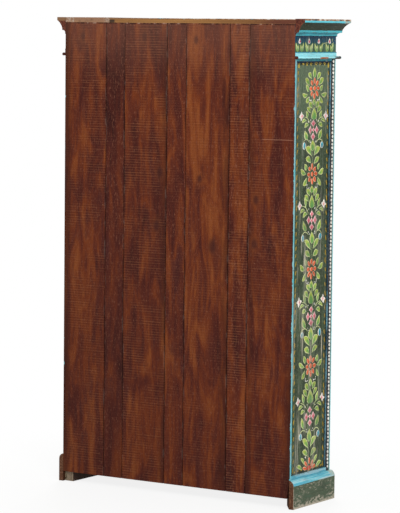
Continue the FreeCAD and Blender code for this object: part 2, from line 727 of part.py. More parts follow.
def make_hardware():
    """Hinges, ring pulls, hasp and staple."""
    frame_leaves, door_leaves, pins = zip(*[butt_hinge(z_mid) for z_mid in hinge_heights()])
    save("hinge_frame_leaves", *frame_leaves, *map(mirrored, frame_leaves))
    save("hinge_pins", *pins, *map(mirrored, pins))
    save_pair("door_leaves", *door_leaves)
    save_pair("ring_rosette", ring_rosette())
    save_pair("pull_ring", pull_ring())
    strap, leaf, pin = hasp_pieces()
    save("hasp_strap", strap)
    save("hasp_leaf", leaf)
    save("hasp_pin", pin)
    save("hasp_staple", hasp_staple())


os.makedirs("parts", exist_ok=True)
make_carcass()
make_doors()
make_hardware()
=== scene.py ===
"""Painted cupboard of the kas type: worn brushed paint, folk flowers and a rough-sawn back."""
import logging
import math
import random
from collections.abc import Iterable, Sequence
from dataclasses import dataclass, field
from enum import Enum

import bpy
from mathutils import Matrix, Vector


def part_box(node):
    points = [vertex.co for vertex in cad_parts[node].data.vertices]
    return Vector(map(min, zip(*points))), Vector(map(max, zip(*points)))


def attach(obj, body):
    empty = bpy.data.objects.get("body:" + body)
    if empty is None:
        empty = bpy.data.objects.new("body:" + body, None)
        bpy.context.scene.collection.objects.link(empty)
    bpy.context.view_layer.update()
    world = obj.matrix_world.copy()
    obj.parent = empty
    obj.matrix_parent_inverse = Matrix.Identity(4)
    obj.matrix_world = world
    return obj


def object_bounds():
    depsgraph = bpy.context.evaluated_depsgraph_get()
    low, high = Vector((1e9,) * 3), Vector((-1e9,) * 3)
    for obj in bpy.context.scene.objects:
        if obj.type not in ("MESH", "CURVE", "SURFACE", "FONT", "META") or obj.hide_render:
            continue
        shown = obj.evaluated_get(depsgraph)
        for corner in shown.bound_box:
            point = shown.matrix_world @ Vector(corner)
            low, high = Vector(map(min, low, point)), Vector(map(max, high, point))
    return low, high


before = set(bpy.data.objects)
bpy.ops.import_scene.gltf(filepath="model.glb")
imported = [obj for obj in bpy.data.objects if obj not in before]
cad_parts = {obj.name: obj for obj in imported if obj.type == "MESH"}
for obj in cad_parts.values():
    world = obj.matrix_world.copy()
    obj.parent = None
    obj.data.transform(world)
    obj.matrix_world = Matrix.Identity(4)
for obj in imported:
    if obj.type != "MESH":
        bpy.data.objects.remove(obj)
CAD_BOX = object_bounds()

log = logging.getLogger("cupboard")

MM = 0.001
PHOTO_HIGH_PX = 513
FIELD_FOOT = 106.0       # mm from the floor to the lower edge of the sides' painted field
NECK = 1641.0            # mm from the floor to the foot of the necking
BACK_TOP = 1758.5        # mm from the floor to the upper ends of the back boards
FRIEZE_TURN = (1684.0, 1698.0)   # mm between which the frieze turns from green to blue
TULIP_HEIGHT = 1700.0    # mm from the floor to the middles of the frieze's white drops
FAR = 3000.0             # mm, past every edge of the cupboard

Socket = bpy.types.NodeSocket
Material = bpy.types.Material
Point = tuple[float, float]
Colour = tuple[float, float, float, float]
Triple = tuple[float, float, float]
Test = tuple[Socket, float, float]           # a pattern, and where it starts to count and counts in full
Wipe = tuple[float, float, float, float]     # mm: y of a streak, half its width, its lower and upper end


class Hue(Enum):
    """Colours of the cupboard, as they look on it in plain light; where some are laid they also stand for
    painted shade and a painted highlight.
    """

    TURQUOISE = "#4FB4C0"
    PALE_TURQUOISE = "#A2E6EE"
    BRIGHT_TURQUOISE = "#62CCDC"
    OVOLO_BLUE = "#76C2D0"
    GREYED_TURQUOISE = "#86BEC6"
    SKY = "#5CA9BC"
    LIP_BLUE = "#50B2C0"
    WALL_BLUE = "#74A9BE"
    DULL_TEAL = "#357C88"
    COVE_TEAL = "#4690A0"
    DARK_TEAL = "#1C464C"
    GREY_GREEN = "#66837A"
    NAVY = "#10193A"
    SOOT = "#2E393B"
    TEAL_NAVY = "#0C3F58"
    DEEP_BLUE = "#0C2C48"
    TEAL_GREEN = "#3F604C"
    FIELD_GREEN = "#313F29"
    BORDER_GREEN = "#212A21"
    MOSS = "#4C5C41"
    PALE_MOSS = "#617159"
    HOLLOW_GREEN = "#2F3627"
    PLINTH_GREEN = "#4A5642"
    CHALK = "#A8A896"
    SCUFF = "#7C8274"
    OCHRE = "#AE8D2B"
    PALE_OCHRE = "#CBB04A"
    PALE_LEAF = "#CDD39A"
    LIME = "#A3B44A"
    LEAF = "#55914C"
    STEM = "#8E9C74"
    ORANGE = "#DA6034"
    DEEP_ORANGE = "#C64C26"
    RED = "#B82A1C"
    PEACH = "#EEB896"
    ROSE = "#DE8A92"
    DEEP_ROSE = "#C24E5C"
    PALE_ROSE = "#F2D2CE"
    WHITE = "#EDE8DD"
    DROP_BLUE = "#33A4BA"
    BARE_WOOD = "#54301F"
    WORN_WOOD = "#8A5C34"
    RUBBED_WOOD = "#A85C2E"
    OLD_WOOD = "#3C261B"
    GREY_WOOD = "#8C7C68"
    GROUND = "#B8AE9C"
    GREY_PAINT = "#A3B5AE"


Paint = Socket | str | Hue
Bands = tuple[tuple[float, Hue], ...]        # mm at which each band of colour starts or ends, and its colour
Tones = tuple[str, str, str]                 # dark, middle and pale tone of a wood


def linear(colour: str | Hue) -> Colour:
    """Turn an sRGB hex colour into linear RGBA.

    Args:
        colour: Hex text such as "#55B9C4", or one of the named colours.

    Returns:
        Linear red, green and blue, and an alpha of 1.
    """
    text = colour.value if isinstance(colour, Hue) else colour
    parts = [int(text[start:start + 2], 16) / 255 for start in (1, 3, 5)]
    red, green, blue = (p / 12.92 if p <= 0.04045 else ((p + 0.055) / 1.055) ** 2.4 for p in parts)
    return red, green, blue, 1.0


def add(tree: bpy.types.NodeTree, kind: str, links: dict | None = None, **settings: object) -> Socket:
    """Add one shader node with its settings and links.

    Args:
        tree: Node tree that takes the node.
        kind: Name of the node's type without its "ShaderNode".
        links: Socket or value for each input, by the input's name or number.
        settings: Properties of the node; "stops" gives a colour ramp its positions and colours, and
            "stepped" lets them change without a blend.

    Returns:
        The node's first output in use, or its first input where it has none.
    """
    node = tree.nodes.new(f"ShaderNode{kind}")
    stops = settings.pop("stops", ())
    stepped = settings.pop("stepped", False)
    for name, value in settings.items():
        setattr(node, name, value)
    for index, (position, colour) in enumerate(stops):
        elements = node.color_ramp.elements
        element = elements[index] if index < 2 else elements.new(position)
        element.position = position
        element.color = linear(colour)
    if stepped:
        node.color_ramp.interpolation = "CONSTANT"
    for key, value in (links or {}).items():
        socket = node.inputs[key]
        if isinstance(value, Socket):
            tree.links.new(value, socket)
        else:
            socket.default_value = value
    sockets = [socket for socket in node.outputs if socket.enabled] or node.inputs
    return sockets[0]


def span(node: str) -> tuple[Vector, Vector]:
    """Lowest and highest corner of a CAD node, in millimetres."""
    low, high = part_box(node)
    return low / MM, high / MM


# Materials


def mm(place: Socket, start: float, full: float) -> Test:
    """Test of a place by two limits in millimetres."""
    return place, start * MM, full * MM


def between(place: Socket, low: float, high: float, fade: float) -> tuple[Test, Test]:
    """Tests that a place lies between two limits, each fading in over a distance, all in millimetres."""
    return mm(place, low, low + fade), mm(place, high, high - fade)


class Axis(Enum):
    """Direction in the cupboard's frame."""

    X = "x"
    Y = "y"
    Z = "z"


class Surface:
    """One material in the making: its nodes, its colour so far and the places and directions of patterns."""

    SEED_STEPS = (7.31, 3.17, 5.73)      # how far apart patterns with neighbouring seeds lie, in patches
    FINER = 0.6                          # strength of each finer layer of a pattern, as a share of the last
    EDGE_PATCH = (34, 34, 34)            # mm, usual size of a worn place on an arris
    EDGE_TURN = (0.995, 0.86)            # cosine of the turn at which an arris starts to count, and is full
    EDGE_SAMPLES = 6
    BUMP = 0.8
    colour: Socket

    def __init__(self, name: str, seed: float) -> None:
        """Start an empty material of that name, with a seed that sets its patterns apart from others'."""
        self.seed = seed
        self.material = bpy.data.materials.new(name)
        self.material.use_nodes = True
        self.tree = self.material.node_tree
        self.tree.nodes.clear()
        places = add(self.tree, "TexCoord").node.outputs
        self.place: Socket = places["Object"]
        self.x, self.y, self.z = add(self.tree, "SeparateXYZ", {0: self.place}).node.outputs
        facings = add(self.tree, "SeparateXYZ", {0: places["Normal"]}).node.outputs
        self.facing_x, self.facing_y = facings[:2]

    def along_moulding(self) -> Socket:
        """Place measured along a moulding that turns a corner: x and y added together, and the height."""
        run = add(self.tree, "Math", {0: self.x, 1: self.y}, operation="ADD")
        return add(self.tree, "CombineXYZ", {0: run, 2: self.z})

    def mottle(self, size: Sequence[float], number: int, detail: float = 2.0, place: Socket | None = None,
               twist: float = 0.0) -> Socket:
        """Give random variation with patches of a real size.

        Args:
            size: Usual size of a patch in millimetres, along x, y and z.
            number: Number that sets this pattern apart from the surface's others.
            detail: How many finer layers are added.
            place: Coordinates in metres; the object's own where not given.
            twist: How far the patches are pulled out of shape.

        Returns:
            Variation from 0 to 1, about 0.5 on average.
        """
        seed = self.seed + number
        spread = add(self.tree, "Mapping", {
            "Vector": place or self.place, "Scale": [1 / (MM * length) for length in size],
            "Location": [seed * step for step in self.SEED_STEPS]})
        return add(self.tree, "TexNoise", {
            "Vector": spread, "Scale": 1.0, "Detail": detail, "Roughness": self.FINER, "Distortion": twist})

    def shake(self, size: Sequence[float], most: float, place: Socket | None = None) -> Socket:
        """Random shift of an edge, by at most so many millimetres, as an unsteady brush leaves it."""
        return add(self.tree, "MapRange", {0: self.mottle(size, 0, 3, place), 3: -most * MM, 4: most * MM})

    def inside(self, place: Socket, low: float, high: float) -> tuple[Socket, Socket]:
        """How far a place is inside a lower and an upper limit, which are given in millimetres."""
        return (add(self.tree, "Math", {0: place, 1: low * MM}, operation="SUBTRACT"),
                add(self.tree, "Math", {0: high * MM, 1: place}, operation="SUBTRACT"))

    def off(self, place: Socket, middle: float) -> Socket:
        """How far a place is to either side of a middle, which is given in millimetres."""
        aside = add(self.tree, "Math", {0: place, 1: middle * MM}, operation="SUBTRACT")
        return add(self.tree, "Math", {0: aside}, operation="ABSOLUTE")

    def where(self, *tests: Test, share: float = 1.0) -> Socket:
        """Find where several patterns are all strong enough.

        Args:
            tests: A pattern, the value at which it starts to count and the value at which it counts in full.
            share: Strength of the mask where all of them count in full.

        Returns:
            A mask from 0 to that share.
        """
        mask: Socket | float = share
        for pattern, start, full in tests:
            step = add(self.tree, "MapRange", {0: pattern, 1: start, 2: full},
                       interpolation_type="SMOOTHSTEP")
            mask = add(self.tree, "Math", {0: mask, 1: step}, operation="MULTIPLY")
        return mask

    def lay(self, below: Paint, above: Paint, *tests: Test, share: float = 1.0, blend: str = "MIX") -> Socket:
        """Lay a colour over another where patterns are strong enough.

        Args:
            below: The colour so far.
            above: The colour that goes over it.
            tests: Patterns and their limits, as for where.
            share: How much of the lower colour is covered at most.
            blend: How the two colours mix.

        Returns:
            The new colour.
        """
        first, second = (paint if isinstance(paint, Socket) else linear(paint) for paint in (below, above))
        cover = self.where(*tests, share=share)
        return add(self.tree, "Mix", {0: cover, 6: first, 7: second}, data_type="RGBA", blend_type=blend)

    def coat(self, above: Paint, *tests: Test, share: float = 1.0, blend: str = "MIX") -> None:
        """Lay a colour over the surface's own, with tests, share and blend as for lay."""
        self.colour = self.lay(self.colour, above, *tests, share=share, blend=blend)

    def worn_edge(self, reach: float, number: int, amount: float) -> Socket:
        """Find arrises that hands and knocks have worn.

        Args:
            reach: How far from an arris the wear goes, in millimetres.
            number: Number for its pattern, as for mottle.
            amount: Share of the arris that is worn, from 0 to 1.

        Returns:
            A mask, 1 where the paint is gone.
        """
        rounded = add(self.tree, "Bevel", {"Radius": reach * MM}, samples=self.EDGE_SAMPLES)
        flat = add(self.tree, "NewGeometry").node.outputs["True Normal"]
        along = add(self.tree, "VectorMath", {0: rounded, 1: flat}, operation="DOT_PRODUCT")
        patches = self.mottle(self.EDGE_PATCH, number, 4)
        return self.where((along, *self.EDGE_TURN), (patches, 0.72 - 0.5 * amount, 0.80 - 0.5 * amount))

    def close(self, roughness: Socket | float, height: Socket, relief: float,
              **others: Socket | float) -> Material:
        """Finish the material with its shader.

        Args:
            roughness: Roughness, one number or a pattern.
            height: Pattern from 0 to 1 that stands up from the surface.
            relief: Height of that pattern in millimetres.
            others: Other shader inputs, by name with _ for spaces.

        Returns:
            The finished material.
        """
        bump = add(self.tree, "Bump", {"Height": height, "Distance": relief * MM, "Strength": self.BUMP})
        links = {"Base Color": self.colour, "Roughness": roughness, "Normal": bump}
        links.update({name.replace("_", " "): value for name, value in others.items()})
        add(self.tree, "OutputMaterial", {"Surface": add(self.tree, "BsdfPrincipled", links)})
        return self.material


@dataclass(frozen=True)
class SawnPine:
    """Pine from the saw under a thin red-brown stain: upright zones, pale saw marks, hardly any shine."""

    seed: float
    warmth: float = 0.5          # how much of the board is orange-brown rather than purple-brown
    shade: float = 0.0           # how much darker than its neighbours, as extra painted shade towards the bottom
    saw: float = 0.6             # how clearly the saw marks show
    knots: tuple[Triple, ...] = ()       # where each is across and up, and its size as a share of a usual one
    scores: tuple[Triple, ...] = ()      # pale scratches: where each starts and ends, and its height
    saw_run: float = 190.0       # mm across the board from one bend of a mark to the next
    saw_pitch: float = 9.6       # mm, real marks are finer: as coarse as it takes to show
    fleck: float = 3.0           # mm, likewise
    flecked: float = 0.42        # how clearly pale flecks of torn grain show
    edge_shade: float = 8.0      # mm of painted shade along each seam
    shaded: Point = (0.0, 0.0)   # mm over which it is darker at its lower and its higher end across the back
    dusty: Point = (1500.0, 1765.0)      # mm from the floor from which dust shows, and is full
    one_band: float = math.pi / 10       # scale of a wave texture with one band to each unit of length

    def material(self, name: str, ends: Point, painted: int = 0) -> Material:
        """Make the board's material.

        Args:
            name: Name of the material.
            ends: Where the board's face starts and ends across the back, in millimetres.
            painted: -1 or 1 where that outer edge shows on the painted side, otherwise 0.

        Returns:
            The material.
        """
        s = Surface(name, self.seed)
        zones = s.mottle((52, 300, 260), 0, 3, twist=0.8)
        streaks = s.mottle((13, 90, 190), 1, 3)
        figure = add(s.tree, "Mix", {0: 0.26, 2: zones, 3: streaks})
        warm = 0.11 * (self.warmth - 0.5)
        s.colour = add(s.tree, "ValToRGB", {0: figure}, stops=(
            (0.31 - warm, "#341411"), (0.43 - warm, "#491D15"), (0.50 - warm, "#5A2717"),
            (0.56 - warm, "#6A3016"), (0.66 - warm, "#80431F")))
        clouds = s.mottle((44, 300, 130), 11, 3)
        s.coat("#45211F", (clouds, 0.54, 0.72), share=0.75 - 0.5 * self.warmth)
        sawn = self._saw_marks(s)
        pores = s.mottle((self.fleck, 60, 24), 4, 3)
        s.coat("#30130E", (pores, 0.54, 0.74), share=0.42)
        flecks = s.mottle((self.fleck, 40, 13), 5, 2)
        s.coat("#8E5C46", (flecks, 0.56, 0.72), share=self.flecked)
        nicks = s.mottle((6, 40, 7), 12, 2)
        s.coat("#A07862", (nicks, 0.74, 0.78), share=0.6)
        self._seams(s, ends)
        self._knots(s)
        # painted shade: darker towards the bottom, the more so on boards darker than their neighbours
        s.coat("#34150F", mm(s.z, 1750, 200), share=0.20 + self.shade)
        self._top_end(s)
        if painted:
            self._painted_edge(s, ends, painted)
        height = add(s.tree, "Mix", {0: 0.4, 2: sawn, 3: pores})
        roughness = add(s.tree, "MapRange", {0: streaks, 3: 0.6, 4: 0.85})
        return s.close(roughness, height, 0.7, Specular_IOR_Level=0.10)

    def _saw_marks(self, s: Surface) -> Socket:
        """Cross marks of the saw in loose groups: rubbed pale ridges with dark stain between them."""
        place = add(s.tree, "Mapping", {
            "Vector": s.place, "Scale": (1 / (self.saw_run * MM), 0.0, 1 / (self.saw_pitch * MM)),
            "Location": (0, 0, self.seed)})
        marks = add(s.tree, "TexWave", {
            "Vector": place, "Scale": self.one_band, "Distortion": 1.5, "Detail": 2.0, "Detail Scale": 0.6},
            bands_direction="Z")
        groups = (s.mottle((110, 300, 120), 3, 3), 0.33, 0.58)
        rows = (s.mottle((220, 300, 12), 2, 2), 0.16, 0.66)
        broken = (s.mottle((24, 60, 6), 13, 2), 0.20, 0.54)
        ridge = s.where((marks, 0.50, 0.98), groups, rows, broken, share=self.saw)
        trough = s.where((marks, 0.5, 0.1), groups, rows, share=self.saw)
        s.coat("#31140F", (trough, 0.0, 1.0), share=0.30)
        s.coat("#93603F", (ridge, 0.0, 1.0), share=0.34)
        return ridge

    def _seams(self, s: Surface, ends: Point) -> None:
        """Grime and old stain darken each joint, with painted shade along the seams beside them and a thin
        rubbed arris in places.
        """
        gaps = s.inside(s.x, *ends)
        nearest = add(s.tree, "Math", dict(enumerate(gaps)), operation="MINIMUM")
        uneven = s.mottle((26, 90, 150), 6, 3)
        # painted shade along each seam, uneven along its length
        s.coat("#2E1512", mm(nearest, self.edge_shade, 0), (uneven, 0.38, 0.66), share=0.5)
        s.coat("#1C1012", mm(nearest, 2.0, 0.6), (uneven, 0.42, 0.54), share=0.4)
        for gap, reach in zip(gaps, self.shaded):
            if reach:
                s.coat("#38190F", mm(gap, reach, 0.1 * reach), (uneven, 0.28, 0.58), share=0.55)
        rubbed = s.mottle((26, 90, 60), 7, 3)
        s.coat("#78625A", mm(nearest, 5.0, 0.8), (rubbed, 0.50, 0.68), share=0.42)

    def _knots(self, s: Surface) -> None:
        """Small dark knots, each an oval longer than it is wide, and single scratches across the board."""
        for across, up, size in self.knots:
            middle = add(s.tree, "VectorMath", {0: s.place, 1: (across * MM, 0, up * MM)},
                         operation="SUBTRACT")
            oval = add(s.tree, "VectorMath", {0: middle, 1: (1.0, 0.0, 0.62)}, operation="MULTIPLY")
            away = add(s.tree, "VectorMath", {0: oval}, operation="LENGTH")
            s.coat("#7E4622", mm(away, 34, 6), share=0.2)
            s.coat("#331718", mm(away, 15 * size, 4 * size), share=0.68)
        for start, end, up in self.scores:
            line = mm(s.off(s.z, up), 2.2, 0.6)
            s.coat("#A8765E", line, *between(s.x, start, end, 12), share=0.5)

    def _top_end(self, s: Surface) -> None:
        """The upper end is dusty, with a ragged pale and dark line where the saw broke out the fibres."""
        s.coat("#936A58", mm(s.z, *self.dusty), share=0.17)
        ragged = s.mottle((22, 60, 60), 14, 3)
        s.coat("#A88C7A", mm(s.z, BACK_TOP - 3, BACK_TOP), (ragged, 0.56, 0.66), share=0.6)
        s.coat("#2A1512", mm(s.z, BACK_TOP - 5, BACK_TOP), (ragged, 0.56, 0.44), share=0.75)

    def _painted_edge(self, s: Surface, ends: Point, side: int) -> None:
        """The outer edge was painted with the side: the paint ends short of the arris, or runs over it."""
        tree = s.tree
        outer = ends[0 if side < 0 else 1] * side * MM
        across = add(tree, "Math", {0: s.x, 1: float(side), 2: -outer}, operation="MULTIPLY_ADD")
        depth = add(tree, "Math", {0: CAD_BOX[1][1], 1: s.y}, operation="SUBTRACT")
        reach = add(tree, "Math", {0: across, 1: depth}, operation="ADD")
        ragged = s.mottle((60, 60, 34), 8, 3)
        limit = add(tree, "MapRange", {0: ragged, 1: 0.52, 2: 0.72, 3: 4.2 * MM, 4: -4.0 * MM})
        over = add(tree, "Math", {0: reach, 1: limit}, operation="SUBTRACT")
        shaded_to = 1200 if side < 0 else 9000
        low = mm(s.z, shaded_to, shaded_to - 900)
        s.coat("#33170F", mm(across, -40, 0), low, share=0.55)
        patch = s.mottle((30, 30, 70), 9, 4)
        paint = s.lay(Hue.GREYED_TURQUOISE, Hue.TURQUOISE, (patch, 0.52, 0.40), share=0.7)
        paint = s.lay(paint, Hue.DULL_TEAL, (patch, 0.54, 0.72), share=0.7)
        chips = s.mottle((9, 9, 24), 10, 4)
        paint = s.lay(paint, Hue.BARE_WOOD, (chips, 0.64, 0.70))
        s.coat(paint, mm(over, 0, 0.8), mm(s.z, NECK + 1, NECK - 1),
               mm(s.z, FIELD_FOOT - 2, FIELD_FOOT + 2))
        frieze = s.lay(Hue.TEAL_GREEN, Hue.TEAL_NAVY, mm(s.z, *FRIEZE_TURN))
        s.coat(frieze, (s.facing_x, 0.4 * side, 0.75 * side), mm(s.z, NECK - 1, NECK + 1))


@dataclass(frozen=True)
class BrushedPaint:
    """Oil paint brushed on bare pine by hand: brush streaks, uneven band edges, chips and worn arrises."""

    bands: Bands                             # where each starts along the axis
    seed: float
    axis: Axis = Axis.Z
    wear: float = 0.5
    chips: float = 0.3
    under: Hue = Hue.BARE_WOOD               # what shows where the paint is gone
    scuffs: float = 0.25
    streaks: Point | None = None             # height in mm above which long scratches run, and their strength
    rear: Hue | None = None                  # colour of faces that look to the back
    rear_line: float = 502.5                 # mm from the middle beyond which those faces are dark
    ends: Tones | None = None                # of a rear end that was left bare
    pale_end: float = 0.0                    # mm from the floor above which such an end is bleached
    capped: Bands = ()                       # other colours above heights
    lost_front: tuple[float, Point, Hue] | None = None   # mm: y before which it is bare, its heights; colour
    rubbed: tuple[Point, Point] | None = None            # y and z in mm between which hands wore it off
    worn_foot: float = 0.0                   # mm from the floor up to which the paint is worn pale
    worn_top: float = 83.0                   # mm from the floor at which all of that wear ends
    worn_rear: float = 0.0                   # y in mm beyond which the paint is worn pale
    crest: float = 0.0                       # mm from the floor above which the paint is worn off in patches

    def material(self, name: str) -> Material:
        """Make the paint's material under that name."""
        s = Surface(name, self.seed)
        run = s.along_moulding()
        self._bands(s, run)
        bristles = s.mottle((70, 70, 3.4), 1, 3, run)
        s.coat("#95A2A2", (bristles, 0.50, 0.72), share=0.40, blend="MULTIPLY")
        s.coat(Hue.PALE_TURQUOISE, (bristles, 0.50, 0.30), share=0.30, blend="SOFT_LIGHT")
        patchy = s.mottle((85, 85, 34), 2, 3, run)
        s.coat("#8B9EA2", (patchy, 0.50, 0.70), share=0.35, blend="MULTIPLY")
        dust = s.mottle((14, 14, 6), 3, 4, run)
        s.coat(Hue.CHALK, (dust, 0.56, 0.66), share=self.scuffs)
        if self.streaks:
            height, strength = self.streaks
            lines = s.mottle((190, 190, 6.5), 9, 3, run)
            above = mm(s.z, height, height + 2)
            s.coat("#BCCDD0", (lines, 0.50, 0.60), above, share=strength)
            s.coat("#459DB8", (lines, 0.48, 0.38), above, share=strength)
        bare = self._bare(s, run)
        grain = s.mottle((60, 60, 4), 6, 3, run)
        wood = s.lay(self.under, Hue.WORN_WOOD, (grain, 0.35, 0.65))
        s.coat(wood, (bare, 0.0, 1.0))
        self._local_loss(s)
        if self.ends:
            rings = add(s.tree, "ValToRGB", {0: s.mottle((6, 6, 6), 7, 3)},
                        stops=tuple(zip((0.34, 0.52, 0.70), self.ends)))
            if self.pale_end:
                rings = s.lay(rings, "#8A6A4C", mm(s.z, self.pale_end, self.pale_end + 9), share=0.8)
            s.coat(rings, (s.facing_y, 0.55, 0.80))
            inward = add(s.tree, "Math", {0: s.facing_x, 1: s.x}, operation="MULTIPLY")
            s.coat(self.ends[0], (inward, -0.2, -0.3))
        height = add(s.tree, "Mix", {0: bare, 2: bristles, 3: 0.0})
        roughness = add(s.tree, "MapRange", {0: bristles, 3: 0.42, 4: 0.70})
        return s.close(roughness, height, 0.35, Specular_IOR_Level=0.12)

    def _bands(self, s: Surface, run: Socket) -> None:
        """Bands of colour with the brush's uneven edges."""
        place = {Axis.X: s.x, Axis.Y: s.y, Axis.Z: s.z}[self.axis]
        shake = s.shake((26, 26, 12), 1.7, run)
        level = add(s.tree, "Math", {0: place, 1: shake}, operation="ADD")
        first, last = self.bands[0][0], self.bands[-1][0] + 1.0
        share = add(s.tree, "MapRange", {0: level, 1: first * MM, 2: last * MM})
        stops = [((start - first) / (last - first), hue) for start, hue in self.bands]
        if len(stops) == 1:
            stops.append((1.0, self.bands[0][1]))
        s.colour = add(s.tree, "ValToRGB", {0: share}, stops=stops, stepped=True)
        for start, hue in self.capped:
            s.coat(hue, mm(s.z, start, start + 8))
        if self.rear:
            # navy patches on faces that look to the back: partly grime, partly painted shade in the recess by
            # the field
            dirt_and_shade = s.mottle((20, 20, 140), 11, 3)
            wall = s.lay(self.rear, Hue.NAVY, (dirt_and_shade, 0.42, 0.56), share=0.85)
            off = add(s.tree, "Math", {0: s.x}, operation="ABSOLUTE")
            wall = s.lay(wall, "#45443E", mm(off, self.rear_line, self.rear_line + 2))
            s.coat(wall, (s.facing_y, 0.5, 0.8))

    def _bare(self, s: Surface, run: Socket) -> Socket:
        """Mask of chips in the paint and of worn arrises."""
        flakes = s.mottle((11, 11, 7), 4, 4, run)
        gone = s.where((flakes, 0.74 - 0.2 * self.chips, 0.78 - 0.2 * self.chips))
        worn = s.worn_edge(4.0, 5, self.wear)
        return add(s.tree, "Math", {0: gone, 1: worn}, operation="MAXIMUM")

    def _local_loss(self, s: Surface) -> None:
        """Paint lost at the front end, where hands rub and at the foot."""
        ragged = s.mottle((13, 13, 9), 8, 4)
        if self.lost_front:
            start, heights, hue = self.lost_front
            s.coat(hue, mm(s.y, start, start - 14), *between(s.z, *heights, 1), (ragged, 0.36, 0.48))
        if self.rubbed:
            run, heights = self.rubbed
            s.coat(Hue.RUBBED_WOOD, *between(s.y, *run, 9), *between(s.z, *heights, 1),
                   (ragged, 0.36, 0.46))
        if self.worn_foot:
            below = mm(s.z, self.worn_top + 1, self.worn_top - 1)
            scars = s.mottle((17, 17, 8), 10, 8)
            above = add(s.tree, "MapRange", {0: s.z, 1: 0.0, 2: self.worn_foot * MM, 3: 0.15, 4: 0.0})
            level = add(s.tree, "Math", {0: scars, 1: above}, operation="ADD")
            knocks = s.mottle((75, 75, 36), 14, 2)
            knocked = (add(s.tree, "Math", {0: knocks, 1: above}, operation="ADD"), 0.44, 0.58)
            s.coat(Hue.GROUND, (level, 0.53, 0.68), below, knocked, share=0.75)
            s.coat(Hue.GROUND, mm(s.z, 10, 3), (ragged, 0.34, 0.52), share=0.85)
            scratches = s.mottle((30, 30, 4), 13, 5, twist=1.6)
            s.coat(Hue.GROUND, (scratches, 0.54, 0.64), (scars, 0.38, 0.54), below, knocked, share=0.7)
            if self.worn_rear:
                rear = mm(s.y, self.worn_rear, self.worn_rear + 3)
                s.coat(Hue.GROUND, rear, (ragged, 0.38, 0.50), below, share=0.75)
        if self.crest:
            wood = add(s.tree, "ValToRGB", {0: s.mottle((30, 30, 14), 12, 4)}, stops=(
                (0.36, "#33302C"), (0.46, "#8A5A38"), (0.54, "#B08660"), (0.64, "#D6CEC2")))
            s.coat(wood, mm(s.z, self.crest - 1, self.crest + 1), (ragged, 0.30, 0.44))


@dataclass(frozen=True)
class FieldPaint:
    """Dark green oil paint on a planed panel: a mottled ground, rubbed in streaks, with rings round it."""

    rings: Bands                             # how far from the edge each ends
    low: Point                               # lower corner of the field, across and up, in mm
    high: Point
    across: Axis
    outward: int                             # 1 or -1: which way along the other axis the painted face looks
    seed: float
    gradings: tuple[tuple[float, float, Hue], ...] = ()  # heights between which another colour takes over
    rubbing: float = 1.0                     # how much of it is rubbed and scratched
    wipes: tuple[Wipe, ...] = ()
    rear: Hue = Hue.GREY_WOOD                # bare wood of faces that look to the back

    def material(self, name: str) -> Material:
        """Make the panel's material under that name."""
        s = Surface(name, self.seed)
        t = s.tree
        sideways, facing = (s.x, s.facing_y) if self.across is Axis.X else (s.y, s.facing_x)
        limits = zip((sideways, s.z), self.low, self.high)
        nearest, *gaps = (gap for place, low, high in limits for gap in s.inside(place, low, high))
        for gap in gaps:
            nearest = add(t, "Math", {0: nearest, 1: gap}, operation="MINIMUM")
        shake = s.shake((22, 22, 30), 1.5)
        nearest = add(t, "Math", {0: nearest, 1: shake}, operation="ADD")

        patches = s.mottle((40, 40, 90), 1, 6)
        s.colour = add(t, "ValToRGB", {0: patches}, stops=(
            (0.32, "#1F281C"), (0.46, Hue.FIELD_GREEN), (0.58, "#3C4C33"), (0.72, Hue.MOSS)))
        graded = add(t, "Math", {0: s.z, 1: shake}, operation="ADD")
        for start, end, hue in self.gradings:
            s.coat(hue, mm(graded, start, end), share=0.85)
        for end, hue in reversed(self.rings):
            s.colour = s.lay(hue, s.colour, mm(nearest, end - 0.7, end + 0.7))
        bristles = s.mottle((4, 4, 120), 2, 3)
        s.coat("#222B24", (bristles, 0.51, 0.68), share=0.52)
        s.coat("#7E8874", (bristles, 0.47, 0.32), share=0.34 * self.rubbing)
        crumbs = s.mottle((7, 7, 9), 7, 3)
        s.coat("#98A287", (crumbs, 0.53, 0.68), share=0.24 * self.rubbing)
        s.coat("#222B22", (crumbs, 0.47, 0.32), share=0.32)
        rub(s, self.rubbing, self.wipes)
        specks = s.mottle((6, 6, 7), 6, 2)
        s.coat(Hue.GROUND, (specks, 0.70, 0.76), share=0.5)
        wood = s.lay(Hue.OLD_WOOD, self.rear, (s.facing_y, 0.5, 0.8))
        wood = s.lay(wood, Hue.OLD_WOOD, (bristles, 0.46, 0.66), share=0.5)
        s.colour = s.lay(wood, s.colour, (facing, 0.2 * self.outward, 0.5 * self.outward))
        roughness = add(t, "MapRange", {0: patches, 3: 0.45, 4: 0.72})
        return s.close(roughness, bristles, 0.25, Specular_IOR_Level=0.12)


def rub(s: Surface, amount: float = 1.0, wipes: Iterable[Wipe] = ()) -> None:
    """Rub and scratch a painted field, as cleaning and knocks do: upright marks, most of them low down.

    Args:
        s: Surface in the making.
        amount: How strong the marks are.
        wipes: Single streaks where the paint was wiped pale.
    """
    low = add(s.tree, "MapRange", {0: s.z, 1: 0.1, 2: 1.6, 3: 0.05, 4: -0.03})
    places = add(s.tree, "Math", {0: s.mottle((44, 44, 330), 4, 3), 1: low}, operation="ADD")
    broad = s.mottle((8, 8, 140), 5, 5)
    s.coat(Hue.SCUFF, (broad, 0.50, 0.66), (places, 0.40, 0.60), share=0.44 * amount)
    lines = s.mottle((6, 6, 130), 3, 5)
    s.coat("#B4AE9E", (lines, 0.50, 0.60), (places, 0.52, 0.62), share=0.65 * amount)
    for middle, half, low_end, high_end in wipes:
        heights = between(s.z, low_end, high_end, (high_end - low_end) * 0.3)
        s.coat("#C6BDA8", mm(s.off(s.y, middle), half, 0.3 * half), (lines, 0.40, 0.58), *heights,
               share=0.7)


